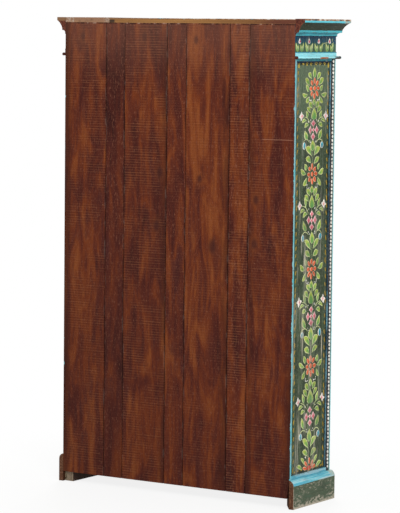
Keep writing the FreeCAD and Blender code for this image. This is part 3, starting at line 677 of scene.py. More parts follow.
@dataclass(frozen=True)
class BrushedStroke:
    """Thick oil colour laid in single strokes on the dry ground, each with its own tint, and worn with it."""

    seed: float
    wipes: tuple[Wipe, ...] = ()

    def material(self, name: str) -> Material:
        """Make the strokes' material under that name."""
        s = Surface(name, self.seed)
        s.colour = add(s.tree, "Attribute", attribute_name="paint")
        thin = s.mottle((9, 9, 12), 8, 3)
        s.coat("#4A5636", (thin, 0.54, 0.76), share=0.40)
        rub(s, wipes=self.wipes)
        flakes = s.mottle((7, 7, 9), 9, 3)
        s.coat(Hue.FIELD_GREEN, (flakes, 0.67, 0.72), share=0.85)
        roughness = add(s.tree, "MapRange", {0: thin, 3: 0.42, 4: 0.66})
        return s.close(roughness, thin, 0.15, Specular_IOR_Level=0.15)


@dataclass(frozen=True)
class PlanedPine:
    """Planed pine, left bare and gone brown with age: long grain, darker lines and rubbed dull places."""

    seed: float
    grain: Axis
    tones: Tones = ("#5A3A22", "#83592F", "#A57B48")
    stained: Point | None = None     # x in mm from which the red-brown stain of the back starts, and is full
    greyed: Point | None = None      # x in mm of a seam beyond which the wood is greyer, with broken ends
    chalked: Point = (466.0, 520.0)  # x in mm between which that wood is chalky too

    def material(self, name: str) -> Material:
        """Make the wood's material under that name."""
        s = Surface(name, self.seed)
        size = {Axis.X: (420, 7, 7), Axis.Y: (7, 420, 7), Axis.Z: (7, 7, 420)}[self.grain]
        broad = s.mottle([5 * length for length in size], 0, 2, twist=0.4)
        lines = s.mottle(size, 1, 4)
        figure = add(s.tree, "Mix", {0: 0.6, 2: broad, 3: lines})
        s.colour = add(s.tree, "ValToRGB", {0: figure}, stops=tuple(zip((0.32, 0.50, 0.68), self.tones)))
        if self.greyed:
            start, end = self.greyed
            s.coat("#93705A", mm(s.x, start, end), share=0.75)
            chalky = (s.mottle((9, 30, 6), 4, 4), 0.40, 0.62)
            for first, last in ((start, start + 34), self.chalked):
                s.coat("#B9AC9E", mm(s.x, first, first + 4), mm(s.x, last, last - 22), chalky, share=0.6)
            notch = (mm(s.x, start - 26, start - 18), mm(s.x, end, start), mm(s.z, 1773, 1771))
            s.coat("#2B211C", *notch, share=0.9)
        if self.stained:
            s.coat("#5A2E22", mm(s.x, *self.stained), share=0.92)
        worn = s.worn_edge(4.0, 2, 0.6)
        s.coat(self.tones[2], (worn, 0.0, 1.0), share=0.45)
        stains = s.mottle((45, 45, 45), 3, 4)
        s.coat("#3A2417", (stains, 0.56, 0.74), share=0.5)
        roughness = add(s.tree, "MapRange", {0: lines, 3: 0.5, 4: 0.8})
        return s.close(roughness, lines, 0.3, Specular_IOR_Level=0.2)


@dataclass(frozen=True)
class ForgedIron:
    """Wrought iron blackened in the forge: dark hammered skin, rust in the hollows, bright arrises."""

    seed: float

    def material(self, name: str) -> Material:
        """Make the iron's material under that name."""
        s = Surface(name, self.seed)
        hammer = s.mottle((7, 7, 7), 0, 2)
        rust = s.where((s.mottle((16, 16, 16), 1, 5), 0.52, 0.68))
        s.colour = s.lay("#35322F", "#5A3A26", (rust, 0.0, 1.0), share=0.7)
        s.coat("#8C8781", (s.worn_edge(1.5, 2, 0.8), 0.0, 1.0), share=0.8)
        metal = add(s.tree, "MapRange", {0: rust, 3: 0.9, 4: 0.25})
        roughness = add(s.tree, "MapRange", {0: rust, 3: 0.42, 4: 0.85})
        return s.close(roughness, hammer, 0.5, Metallic=metal)


# Painted strokes


class Outline(Enum):
    """Kinds of brush stroke, told apart by their width along their length."""

    LEAF = "leaf"
    PADDLE = "paddle"
    DROP = "drop"
    OVAL = "oval"
    DIAMOND = "diamond"
    LINE = "line"

    def half_width(self, share: float) -> float:
        """Give the share of the stroke's half-width at a share of its length from the foot."""
        if self is Outline.LEAF:
            return math.sin(math.pi * share ** 0.8) ** 0.9
        if self is Outline.PADDLE:
            return math.sin(math.pi * share ** 1.35) ** 0.75
        if self is Outline.DROP:
            return 2.38 * share ** 0.4 * (1 - share) ** 1.1
        if self is Outline.DIAMOND:
            return 1 - abs(2 * share - 1) ** 0.9
        if self is Outline.LINE:
            return (1 - abs(2 * share - 1) ** 8) ** 0.5
        return math.sqrt(1 - (2 * share - 1) ** 2)


@dataclass(frozen=True)
class Stroke:
    """One stroke: where it starts and ends on the panel, its width in mm and its colours."""

    outline: Outline
    foot: Point
    tip: Point
    width: float
    rim: Hue
    inside: Hue | None = None      # none for a stroke of one colour
    heart: Hue | None = None       # colour near the foot and along the middle
    bow: float = 0.0               # how far the stroke bows aside, as a share of its length
    rim_width: float = 2.0


def standing(outline: Outline, middle: Point, half: float, width: float, *hues: Hue,
             rim_width: float = 2.0) -> Stroke:
    """An upright stroke by its middle, half its height and its width in mm, coloured from the rim in."""
    across, up = middle
    return Stroke(outline, (across, up - half), (across, up + half), width, *hues, rim_width=rim_width)


@dataclass(frozen=True)
class Canvas:
    """A painted face: its origin in mm, its directions across and out of the wood, and its round if any."""

    origin: Vector
    across: Vector
    out: Vector
    round_radius: float = 0.0      # radius of a bead's round about the line across = 0; 0 where flat

    def point(self, across: float, up: float, height: float) -> Vector:
        """Place in metres of a point that stands a height in mm off the face."""
        if self.round_radius:
            height += math.sqrt(self.round_radius ** 2 - across ** 2) - self.round_radius
        return (self.origin + self.across * across + Vector((0, 0, up)) + self.out * height) * MM

    def flipped(self) -> bool:
        """Say whether the face's axes are left-handed, so that polygons turn the other way."""
        return self.across.cross(Vector((0, 0, 1))).dot(self.out) < 0


def front_canvas(x: float, y: float) -> Canvas:
    """A face that looks out of the cupboard's front, with its middle at a place in mm."""
    return Canvas(Vector((x, y, 0)), Vector((1, 0, 0)), Vector((0, -1, 0)))


class Brush:
    """Lays strokes on one canvas with an unsteady hand, and makes one mesh of them."""

    STATIONS = 8
    THICK = 0.30       # mm of paint at the middle of a stroke
    SUNK = 0.05        # mm by which a stroke's edge is in the wood
    LAYER = 0.10       # mm by which each later layer stands over the earlier one
    DOME = 0.06        # mm by which a stroke's side is lower than its middle
    RIM_DIP = 0.02     # mm by which the rim is lower still
    WIDTHS = (0.9, 1.1)        # spread of a stroke's width
    LIGHTS = (0.78, 1.14)      # spread of its lightness
    BOW_SPREAD = 0.03
    NARROWEST = 0.05           # least half-width of a row of points, as a share of the stroke's
    LEAST_INSIDE = 0.15        # least width of the inside, as a share of the row's
    INSIDE_FROM = 0.92         # where the inside's own colour starts, as a share of its width
    HEART_END = 0.50           # share of the length up to which the heart shows

    def __init__(self, canvas: Canvas, seed: int, shake: float = 1.1) -> None:
        """Take up the brush on a canvas, with a seed and the hand's unsteadiness in mm."""
        self.canvas = canvas
        self.random = random.Random(seed)
        self.shake = shake
        self.points: list[Vector] = []
        self.faces: list[tuple[int, ...]] = []
        self.colours: list[Colour] = []

    def dot(self, centre: Point, size: float, hue: Hue, layer: int = 3) -> None:
        """Touch the canvas with the brush's tip: a round spot of one colour."""
        self.lay(standing(Outline.OVAL, centre, size / 2, size, hue), layer=layer)

    def lay(self, stroke: Stroke, layer: int = 0) -> None:
        """Lay one stroke: a thin closed dome with its rim, inside and heart colours.

        Args:
            stroke: The stroke.
            layer: How many dry layers lie below it.
        """
        rand = self.random
        top = layer * self.LAYER + self.THICK
        foot = [value + rand.gauss(0, self.shake) for value in stroke.foot]
        tip = [value + rand.gauss(0, self.shake) for value in stroke.tip]
        half = stroke.width / 2 * rand.uniform(*self.WIDTHS)
        light = rand.uniform(*self.LIGHTS)
        along = (tip[0] - foot[0], tip[1] - foot[1])
        length = math.hypot(*along) or 1.0
        aside = (-along[1] / length, along[0] / length)
        hues = (stroke.rim, stroke.inside or stroke.rim, stroke.heart or stroke.inside or stroke.rim)
        rim, inside, heart = ((*(part * light for part in linear(hue)[:3]), 1.0) for hue in hues)
        bow = (stroke.bow + rand.gauss(0, self.BOW_SPREAD)) * length
        side = top - self.DOME
        edge = side - self.RIM_DIP

        def put(share: float, off: float, height: float, colour: Colour) -> int:
            """Add one point of the stroke and return its number."""
            bend = 4 * bow * share * (1 - share) + off
            self.points.append(self.canvas.point(
                foot[0] + along[0] * share + aside[0] * bend,
                foot[1] + along[1] * share + aside[1] * bend, height))
            self.colours.append(colour)
            return len(self.points) - 1

        start = put(0.0, 0.0, -self.SUNK, rim)
        rows = []
        for number in range(1, self.STATIONS):
            share = (1 - math.cos(math.pi * number / self.STATIONS)) / 2
            wide = half * max(stroke.outline.half_width(share), self.NARROWEST)
            inner = max(wide - stroke.rim_width, self.LEAST_INSIDE * wide)
            fade = min(1.0, share / self.HEART_END)
            body = tuple(a + (b - a) * fade for a, b in zip(heart, inside))
            middle = heart if share < self.HEART_END else inside
            right = [(self.INSIDE_FROM * inner, side, body), (inner, edge, rim), (wide, -self.SUNK, rim)]
            left = [(-off, height, colour) for off, height, colour in reversed(right)]
            columns = [*left, (0.0, top, middle), *right]
            rows.append([put(share, off, height, colour) for off, height, colour in columns])
        end = put(1.0, 0.0, -self.SUNK, rim)
        self._skin(start, rows, end)

    def _skin(self, start: int, rows: list[list[int]], end: int) -> None:
        """Join the stroke's points into a closed skin.

        Args:
            start: Number of the foot's point.
            rows: Numbers of the points across the stroke, row by row.
            end: Number of the tip's point.
        """
        made = []
        last = len(rows[0]) - 1
        for column in range(last):
            made.append((start, rows[0][column + 1], rows[0][column]))
            made.append((end, rows[-1][column], rows[-1][column + 1]))
            for below, above in zip(rows, rows[1:]):
                made.append((below[column], below[column + 1], above[column + 1], above[column]))
        made.append((start, rows[0][0], rows[0][last]))
        made.append((end, rows[-1][last], rows[-1][0]))
        for below, above in zip(rows, rows[1:]):
            made.append((below[last], below[0], above[0], above[last]))
        turn = self.canvas.flipped()
        self.faces.extend(tuple(reversed(face)) if turn else face for face in made)

    def piece(self, name: str, body: str, slot: str, seed: int, wipes: tuple[Wipe, ...] = ()) -> None:
        """Make the strokes into one object.

        Args:
            name: Name of the piece.
            body: CAD body that it rides on.
            slot: Not used.
            seed: Number for the wear of the paint.
            wipes: Streaks of the panel that go over the strokes too.
        """
        mesh = bpy.data.meshes.new(name)
        mesh.from_pydata([tuple(point) for point in self.points], [], self.faces)
        paint = mesh.attributes.new("paint", "FLOAT_COLOR", "POINT")
        paint.data.foreach_set("color", [part for colour in self.colours for part in colour])
        mesh.materials.append(BrushedStroke(seed, wipes).material(f"{name}_brush_stroke_oil_colour"))
        mesh.shade_smooth()
        made = bpy.data.objects.new(name, mesh)
        bpy.context.scene.collection.objects.link(made)
        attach(made, body)
        log.info("%s: %d faces of paint on %s", name, len(mesh.polygons), body)


@dataclass(frozen=True)
class LeafPlace:
    """Where a leaf of the flower column starts and ends, from the flower above it, and its width in mm."""

    foot: Point
    tip: Point
    width: float
    bow: float = 0.0
    outline: Outline = Outline.PADDLE

    def stroke(self, foot: Point, tip: Point, side: int) -> Stroke:
        """The leaf painted between two points: a wide pale rim, lime inside and a green foot."""
        return Stroke(self.outline, foot, tip, self.width, Hue.PALE_LEAF, Hue.LIME, Hue.LEAF,
                      bow=-side * self.bow, rim_width=3.8)


@dataclass
class FlowerColumn:
    """Upright run of orange flowers and roses with leaves, buds and drops, one repeat under another."""

    flowers: list[Point]                     # centres of the orange flowers, from the top down
    halved: bool = False                     # the lowest flower shows its upper half only
    repeat: float = 311.0                    # mm between flowers for which the places below are given
    side_leaves: tuple[LeafPlace, ...] = (
        LeafPlace((13, -73), (38, -49), 24, -0.1), LeafPlace((24, -90), (51, -69), 24, -0.1),
        LeafPlace((45, -108), (57, -78), 20, -0.1, Outline.LEAF), LeafPlace((46, -118), (84, -125), 17, -0.2),
        LeafPlace((32, -132), (65, -139), 20, -0.2), LeafPlace((40, -184), (61, -150), 26, 0.1, Outline.LEAF),
        LeafPlace((9, -247), (51, -215), 28, -0.1), LeafPlace((9, -272), (49, -252), 26, -0.1))
    middle_leaves: tuple[LeafPlace, ...] = (
        LeafPlace((0, -62), (0, -36), 28, outline=Outline.LEAF),
        LeafPlace((0, -112), (0, -67), 44, outline=Outline.DROP),
        LeafPlace((0, -227), (0, -187), 37, outline=Outline.LEAF))
    flower_leaves: tuple[LeafPlace, ...] = (
        LeafPlace((40, 12), (52, 41), 21, -0.1, Outline.LEAF), LeafPlace((43, 0), (82, 19), 23, 0.12),
        LeafPlace((40, -11), (63, -42), 22, 0.1))
    top_leaves: tuple[LeafPlace, ...] = (
        LeafPlace((20, 30), (45, 56), 24, -0.1), LeafPlace((32, 10), (66, 37), 24, -0.1),
        LeafPlace((44, -13), (62, 15), 22, -0.12, Outline.LEAF), LeafPlace((46, -20), (89, -19), 22, 0.15),
        LeafPlace((37, -26), (61, -52), 23, 0.12))
    crown_leaf: LeafPlace = LeafPlace((0, 38), (0, 80), 26, outline=Outline.LEAF)
    foot_leaves: tuple[LeafPlace, ...] = (
        LeafPlace((34, 18), (58, 50), 17, -0.1), LeafPlace((48, 2), (88, 22), 20, -0.1))
    bud: Point = (86, -101)
    drop: Point = (63, -208)
    rose: Point = (0, -151)

    def paint(self, brush: Brush) -> None:
        """Paint the whole column with a brush."""
        for upper, lower in zip(self.flowers, self.flowers[1:]):
            self._stem(brush, upper, lower)
            self._repeat(brush, upper, lower)
        self._round_flower(brush, self.flowers[0], (self.crown_leaf,), (1,))
        self._round_flower(brush, self.flowers[0], self.top_leaves)
        whole = self.flowers[:-1] if self.halved else self.flowers
        for centre in whole[1:]:
            self._round_flower(brush, centre, self.flower_leaves)
        for centre in whole:
            self._petals(brush, centre, range(90, 450, 45), (15.5, 39.5), 17.5, 0.92)
            brush.lay(standing(Outline.OVAL, centre, 9.0, 20, Hue.PEACH, Hue.ORANGE), layer=5)
        if self.halved:
            self._foot_flower(brush, self.flowers[-1])

    def _at(self, upper: Point, lower: Point, place: Point, side: int) -> Point:
        """Place on the panel of a point of the repeat, on the left (-1) or right (1) of the column."""
        run = (upper[1] - lower[1]) / self.repeat
        share = -place[1] / self.repeat
        middle = upper[0] + (lower[0] - upper[0]) * share
        return middle + side * place[0], upper[1] + place[1] * run

    def _stem(self, brush: Brush, upper: Point, lower: Point) -> None:
        """The thin stem from one flower to the next, and the twigs to the buds and drops."""
        start = self._at(upper, lower, (0, -30), 1)
        end = self._at(upper, lower, (0, -self.repeat + 25), 1)
        brush.lay(Stroke(Outline.LINE, start, end, 3.2, Hue.STEM))
        for side in (-1, 1):
            fork = self._at(upper, lower, (24, -126), side)
            bud = self._at(upper, lower, (self.bud[0] - 16, self.bud[1] - 4), side)
            brush.lay(Stroke(Outline.LINE, fork, bud, 4.2, Hue.PALE_LEAF, bow=side * 0.16), layer=1)
            arch = [self._at(upper, lower, place, side) for place in ((23, -198), (72, -199))]
            brush.lay(Stroke(Outline.LINE, *arch, 4.6, Hue.PALE_LEAF, bow=side * 0.28), layer=1)
            curl = [self._at(upper, lower, place, side) for place in ((22, -43), (37, -34))]
            brush.lay(Stroke(Outline.LINE, *curl, 3.8, Hue.WHITE, bow=-side * 0.45), layer=2)
            for end in curl:
                brush.dot(end, 5.5, Hue.WHITE)

    def _repeat(self, brush: Brush, upper: Point, lower: Point) -> None:
        """All that grows between one orange flower and the next."""
        def leaves(places: Iterable[LeafPlace], side: int, layer: int) -> None:
            """Lay leaves on one side of the column."""
            for leaf in places:
                foot, tip = (self._at(upper, lower, end, side) for end in (leaf.foot, leaf.tip))
                brush.lay(leaf.stroke(foot, tip, side), layer=layer)

        leaves(self.middle_leaves, 1, 1)
        for side in (-1, 1):
            leaves(self.side_leaves, side, 2)
            for place in ((22, -114), (36, -119), (23, -189), (18, -195)):
                brush.dot(self._at(upper, lower, place, side), 5.5, Hue.WHITE)
            self._bud(brush, self._at(upper, lower, self.bud, side), side)
            brush.lay(standing(Outline.OVAL, self._at(upper, lower, self.drop, side), 13.0, 25, Hue.WHITE,
                               Hue.DROP_BLUE, Hue.DULL_TEAL, rim_width=4.6), layer=3)
        self._rose(brush, self._at(upper, lower, self.rose, 1))

    def _round_flower(self, brush: Brush, centre: Point, leaves: Sequence[LeafPlace],
                      sides: Iterable[int] = (-1, 1)) -> None:
        """Leaves placed from a flower's own centre, on the left (-1) and the right (1) of it."""
        across, up = centre
        for side in sides:
            for leaf in leaves:
                foot, tip = ((across + side * x, up + z) for x, z in (leaf.foot, leaf.tip))
                brush.lay(leaf.stroke(foot, tip, side), layer=1)

    def _foot_flower(self, brush: Brush, centre: Point) -> None:
        """The half flower at the foot of the column, larger than the others, with its own leaves."""
        across, up = centre
        self._round_flower(brush, centre, self.foot_leaves)
        self._petals(brush, centre, (14, 48, 90, 132, 166), (19, 46), 17)
        brush.lay(standing(Outline.OVAL, (across, up + 6), 10, 30, Hue.DEEP_ORANGE, Hue.RED, rim_width=2.6),
                  layer=5)
        brush.dot((across, up - 1), 9.0, Hue.PALE_OCHRE, 6)
        brush.dot((across - 26, up + 50), 7.0, Hue.WHITE)

    def _bud(self, brush: Brush, centre: Point, side: int) -> None:
        """A white bud of four pointed petals with an orange heart."""
        across, up = centre
        for aside, rise in ((2, 18), (4, -17), (19, -2), (-17, 3)):
            foot = (across - side * aside * 0.2, up - rise * 0.2)
            tip = (across + side * aside, up + rise)
            brush.lay(Stroke(Outline.LEAF, foot, tip, 15, Hue.WHITE, heart=Hue.PALE_ROSE), layer=3)
        brush.lay(standing(Outline.DIAMOND, (across - side, up - 0.5), 9.5, 17, Hue.PEACH, Hue.ROSE,
                           rim_width=3.0), layer=5)

    def _rose(self, brush: Brush, centre: Point) -> None:
        """Four pointed pink petals round a fifth."""
        across, up = centre
        petals = ((0, 24, 14, 34), (0, -24, 15, 35), (-24, 0, 17, 29), (24, 0, 17, 29), (0, 0, 11, 22))
        for shift, rise, high, wide in petals:
            brush.lay(standing(Outline.DIAMOND, (across + shift, up + rise), high, wide, Hue.PALE_ROSE,
                               Hue.ROSE, Hue.DEEP_ROSE, rim_width=4.0), layer=3)

    def _petals(self, brush: Brush, centre: Point, angles: Iterable[float], ends: Point, width: float,
                narrow: float = 1.0) -> None:
        """Orange petals round a flower's centre.

        Args:
            brush: Brush on its canvas.
            centre: Middle of the flower.
            angles: Direction of each petal, in degrees from the right.
            ends: How far from the centre a petal starts and ends, in mm.
            width: Width of a petal in mm.
            narrow: Width of the whole flower, as a share of its height.
        """
        for angle in angles:
            ahead = (math.cos(math.radians(angle)) * narrow, math.sin(math.radians(angle)))
            foot, tip = ((centre[0] + end * ahead[0], centre[1] + end * ahead[1]) for end in ends)
            brush.lay(Stroke(Outline.OVAL, foot, tip, width, Hue.PEACH, Hue.ORANGE, Hue.DEEP_ORANGE,
                             rim_width=2.8), layer=4)


def paint_tulips(brush: Brush, places: Iterable[float]) -> None:
    """Paint a row of white drops, each over two sprays of leaves that lean away from each other.

    Args:
        brush: Brush on its canvas.
        places: Where each stands, across the canvas.
    """
    fingers = (((14, -40), (28, -4), 16), ((14, -39), (7, -12), 13), ((13, -42), (18, -16), 16))
    for across in places:
        for side in (-1, 1):
            for foot, tip, width in fingers:
                ends = [(across + side * end[0], TULIP_HEIGHT + end[1]) for end in (foot, tip)]
                brush.lay(Stroke(Outline.LEAF, *ends, width, Hue.LIME, Hue.PALE_LEAF, Hue.LEAF,
                                 rim_width=2.4))
        brush.lay(standing(Outline.DROP, (across, TULIP_HEIGHT + 1.5), 10.5, 18, Hue.WHITE), layer=2)
        brush.lay(standing(Outline.OVAL, (across, TULIP_HEIGHT - 1), 6, 13, Hue.DEEP_ROSE), layer=5)


def paint_vine(brush: Brush, across: float, ends: Point, gaps: Sequence[Point] = (),
               pitch: float = 46.0) -> None:
    """Paint a thin upright vine with leaves to each side in turn and white dots between them.

    Args:
        brush: Brush on its canvas.
        across: Where the vine stands.
        ends: Heights of its foot and of its top.
        gaps: Heights between which ironwork leaves no room.
        pitch: Height from one leaf to the next, in mm.
    """
    count = round((ends[1] - ends[0]) / pitch)
    for number in range(count):
        up = ends[0] + number * pitch
        if any(low < up + pitch and up < high for low, high in gaps):
            continue
        side = 1 if number % 2 else -1
        brush.lay(Stroke(Outline.LINE, (across, up - 2), (across, up + pitch + 2), 3.4, Hue.DARK_TEAL,
                         bow=0.06 * side))
        brush.lay(Stroke(Outline.PADDLE, (across + 2 * side, up + 8), (across + 21 * side, up + 34), 13,
                         Hue.PALE_LEAF, Hue.LIME, Hue.LEAF, 0.1 * side, 2.4), layer=1)
        brush.dot((across - 11 * side, up + 22), 7.5, Hue.WHITE, 1)


# Sub-assemblies


WELD_GAP = 0.01          # mm within which corners of a CAD mesh are joined
ARRIS_FACETS = 2
ARRIS_ANGLE = 40.0       # degrees from which an edge counts as an arris


def soften(node: str, radius: float) -> None:
    """Round a CAD node's arrises a little, as sanding and use have.

    Args:
        node: Name of the node.
        radius: Radius of the round in millimetres.
    """
    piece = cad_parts[node]
    weld = piece.modifiers.new("joined_corners", "WELD")
    weld.merge_threshold = WELD_GAP * MM
    bevel = piece.modifiers.new("rubbed_arris", "BEVEL")
    bevel.width = radius * MM
    bevel.segments = ARRIS_FACETS
    bevel.limit_method = "ANGLE"
    bevel.angle_limit = math.radians(ARRIS_ANGLE)


def dress(node: str, material: Material, radius: float = 0.0) -> None:
    """Give a CAD node its material, and rounded arrises where a radius in mm is given."""
    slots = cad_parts[node].data.materials
    slots.clear()
    slots.append(material)
    if radius:
        soften(node, radius)
    log.info("%s: %s", node, material.name)


@dataclass
class Back:
    """Seven lapped boards, each sawn from another log."""

    seam: float = 2.5        # mm
    arris: float = 0.9       # mm
    finishes: tuple[SawnPine, ...] = (
        SawnPine(1.7, 0.55, 0.00, 0.70, ((-350, 1122, 1.1), (-345, 961, 1.2)), ((-509, -368, 1344),),
                 shaded=(0.0, 36.0)),
        SawnPine(5.2, 0.50, -0.04, 1.00, flecked=0.6),
        SawnPine(9.4, 0.80, 0.00, 0.50, ((-84, 1700, 1.0), (-164, 943, 1.7), (-106, 1190, 0.9)),
                 shaded=(48.0, 0.0)),
        SawnPine(12.9, 0.40, 0.02, 0.45, flecked=0.6),
        SawnPine(17.3, 0.52, 0.06, 0.90, ((145, 1709, 1.1), (71, 1207, 1.3), (85, 1007, 1.3)),
                 shaded=(34.0, 0.0)),
        SawnPine(22.6, 0.08, 0.17, 0.35, flecked=0.5),
        SawnPine(27.8, 0.58, 0.08, 0.80, ((426, 1709, 1.0),), shaded=(0.0, 36.0)))

    def dress(self) -> None:
        """Give each board its own sawn and stained face."""
        nodes = [f"back_board_{number + 1}" for number in range(len(self.finishes))]
        lows = [span(node)[0].x for node in nodes]
        for index, (node, finish) in enumerate(zip(nodes, self.finishes)):
            last = node == nodes[-1]
            end = span(node)[1].x if last else lows[index + 1] - self.seam
            painted = -1 if index == 0 else 1 if last else 0
            wood = finish.material(f"stained_sawn_pine_{index + 1}", (lows[index], end), painted)
            dress(node, wood, self.arris)


# the navy at the frieze board's foot is partly painted shade under the lip above the recessed field
FRIEZE_GRADINGS = (
    (1600.0, 1601.0, Hue.TEAL_GREEN), (*FRIEZE_TURN, Hue.TEAL_NAVY), (1706.0, 1711.0, Hue.DEEP_BLUE),
    (NECK, NECK - 2, Hue.LIP_BLUE), (1630.5, 1628.5, Hue.NAVY))
LEFT_WIPES: tuple[Wipe, ...] = (
    (74, 9, 535, 755), (93, 6, 225, 410), (139, 8, 440, 500), (-66, 6, 530, 635), (88, 5, 915, 1005),
    (-71, 6, 960, 1150), (68, 6, 845, 940))


@dataclass
class PaintedSide:
    """One side of the cupboard: a green field with a column of flowers, between strips and a dotted bead."""

    side: str
    sign: int
    seed: int
    wipes: tuple[Wipe, ...] = ()
    rear_border: float = 127.0       # y of the rear row of ochre drops, in mm
    front_border: float = -87.5
    border_pitch: float = 29.0
    border_foot: float = 18.0        # mm from the field's lower edge to the border's first drop
    border_free: float = 46.0        # mm of the field's height that the border leaves free
    drop_halves: Point = (8.0, 12.0)     # mm, least and most half-length of a drop
    drop_shift: float = 4.0          # mm by which a drop is off its place at most
    foot_drops: int = 9              # drops along the field's lower edge
    top_line: float = 2.4            # mm from the field's top edge down to its dark line: a painted line and partly painted shade under the lip
    scallop_height: float = 4.0      # mm from the field's top edge down to the row of scallops
    scallop_half: float = 10.0       # mm
    scallops: tuple[float, ...] = (94, 67, 39, 2, -26, -57)
    dot_pitch: float = 13.8
    dot_high: float = 11.4
    dot_wide: float = 9.9
    dot_aside: float = -2.2          # mm towards the back, where the brush reached it
    dot_free: Point = (16.0, 8.0)    # mm of the bead's foot and top without dots
    bead_radius: float = 10.875
    flowers: tuple[Point, ...] = ((11, 1529), (20, 1217), (15.5, 869), (11, 510), (13.5, 125))    # y and z
    tulips: tuple[float, ...] = (134, 68, -2, -79)
    slips: tuple[tuple[Point, Point, float], ...] = (      # white lines where the brush slipped on the frieze
        ((24, 1686), (68, 1693), 0.10), ((92, 1690), (110, 1697), -0.15), ((101, 1700), (103, 1712), 0.1))
    strip_ends: Tones = ("#4A3E30", "#7E7058", "#A09478")
    strip_arris: float = 0.8         # mm
    low: Point = field(init=False)
    high: Point = field(init=False)

    def __post_init__(self) -> None:
        """Read the field's corners from the frame around it."""
        rear = span("back_board_1")[0].y
        front = span(f"{self.side}_front_post")[1].y
        self.low = (front, span(f"{self.side}_base_strip")[1].z)
        self.high = (rear, span(f"{self.side}_side_frieze")[0].z)

    def canvas(self, face: float, y_middle: float = 0.0, radius: float = 0.0) -> Canvas:
        """A face that looks sideways out of the cupboard, with across running to the front."""
        return Canvas(Vector((face, y_middle, 0)), Vector((0, -1, 0)), Vector((self.sign, 0, 0)), radius)

    def outer(self, node: str) -> float:
        """The x of a node's outer face, in mm."""
        low, high = span(node)
        return low.x if self.sign < 0 else high.x

    def dress(self) -> None:
        """Paint the side's boards and strips, and all the strokes on them."""
        finishes = {
            ("side_plank", "green"): FieldPaint(
                ((11.0, Hue.BORDER_GREEN),), self.low, self.high, Axis.Y, self.sign, self.seed,
                ((1230.0, 1640.0, Hue.PALE_MOSS),), wipes=self.wipes,
                rear=Hue.OLD_WOOD if self.sign < 0 else Hue.GREY_WOOD),
            ("side_frieze", "frieze"): FieldPaint(
                (), (self.low[0], 0.0), (self.high[0], FAR), Axis.Y, self.sign, self.seed + 20,
                FRIEZE_GRADINGS, 0.4, rear=Hue.OLD_WOOD),
            ("base_strip", "blue"): BrushedPaint(
                ((0.0, Hue.SKY),), self.seed + 30, wear=0.4, streaks=(0.0, 0.45), ends=self.strip_ends),
            ("bead_strip", "dark"): BrushedPaint(((0.0, Hue.SOOT),), self.seed + 40, wear=0.3, scuffs=0.12)}
        for (node, paint), finish in finishes.items():
            radius = self.strip_arris if node == "base_strip" else 0.0
            dress(f"{self.side}_{node}", finish.material(f"{self.side}_{paint}_brushed_oil_paint"), radius)
        self._field_strokes()
        self._frieze_strokes()
        self._bead_dots()

    def _field_strokes(self) -> None:
        """The flower column and its ochre border, on the side plank."""
        brush = Brush(self.canvas(self.outer(f"{self.side}_side_plank")), self.seed)
        FlowerColumn([(-y, z) for y, z in self.flowers], halved=True).paint(brush)
        rows = int((self.high[1] - self.low[1] - self.border_free) / self.border_pitch)
        for y, lean in ((self.rear_border, 2.0), (self.front_border, -2.0)):
            for row in range(rows + 1):
                shift = brush.random.uniform(-self.drop_shift, self.drop_shift)
                up = self.low[1] + self.border_foot + row * self.border_pitch + shift
                half = brush.random.uniform(*self.drop_halves)
                brush.lay(Stroke(Outline.OVAL, (-y - lean, up - half), (-y + lean, up + half), 6.8, Hue.OCHRE,
                                 bow=0.06))
        # navy line along the field's top: a painted line, and partly painted shade under the lip above the
        # recessed field
        edge = self.high[1] - self.top_line
        brush.lay(Stroke(Outline.LINE, (-self.high[0], edge), (-self.low[0], edge), 4.5, Hue.NAVY))
        top = self.high[1] - self.scallop_height
        for y in self.scallops:
            ends = [(across, top - 4) for across in (-y - self.scallop_half, -y + self.scallop_half)]
            brush.lay(Stroke(Outline.LINE, *ends, 4, Hue.PALE_OCHRE, bow=0.28), layer=2)
            brush.lay(standing(Outline.OVAL, (-y, top - 6), 3, 9, Hue.PALE_OCHRE), layer=2)
        for y in (self.rear_border - 2, self.front_border):
            brush.lay(standing(Outline.DROP, (-y, top - 7.5), 10.5, 14, Hue.PALE_OCHRE), layer=2)
        for number in range(self.foot_drops):
            y = self.front_border + (number + 0.5) * (self.rear_border - self.front_border) / self.foot_drops
            ends = ((-y - 7, self.low[1] + 10), (-y + 8, self.low[1] + 12))
            brush.lay(Stroke(Outline.DROP, *ends, 7, Hue.OCHRE))
        brush.piece(f"{self.side}_side_flowers", "carcass", "green_paint", self.seed, self.wipes)

    def _frieze_strokes(self) -> None:
        """Four white drops, each over its sprays of lime leaves."""
        brush = Brush(self.canvas(self.outer(f"{self.side}_side_frieze")), self.seed + 1, 0.7)
        paint_tulips(brush, [-y for y in self.tulips])
        for foot, tip, bow in self.slips:
            brush.lay(Stroke(Outline.LINE, foot, tip, 2.8, Hue.PALE_LEAF, bow=bow), layer=3)
        brush.piece(f"{self.side}_frieze_flowers", "carcass", "green_paint", self.seed + 2)

    def _bead_dots(self) -> None:
        """White dots down the bead."""
        node = f"{self.side}_bead_strip"
        low, high = span(node)
        canvas = self.canvas(self.outer(node), (low.y + high.y) / 2, self.bead_radius)
        brush = Brush(canvas, self.seed + 3, 0.5)
        up = low.z + self.dot_free[0]
        while up < high.z - self.dot_free[1]:
            middle = (self.dot_aside, up)
            brush.lay(standing(Outline.OVAL, middle, self.dot_high / 2, self.dot_wide, Hue.WHITE))
            up += self.dot_pitch
        brush.piece(f"{self.side}_bead_dots", "carcass", "turquoise_paint", self.seed + 4)


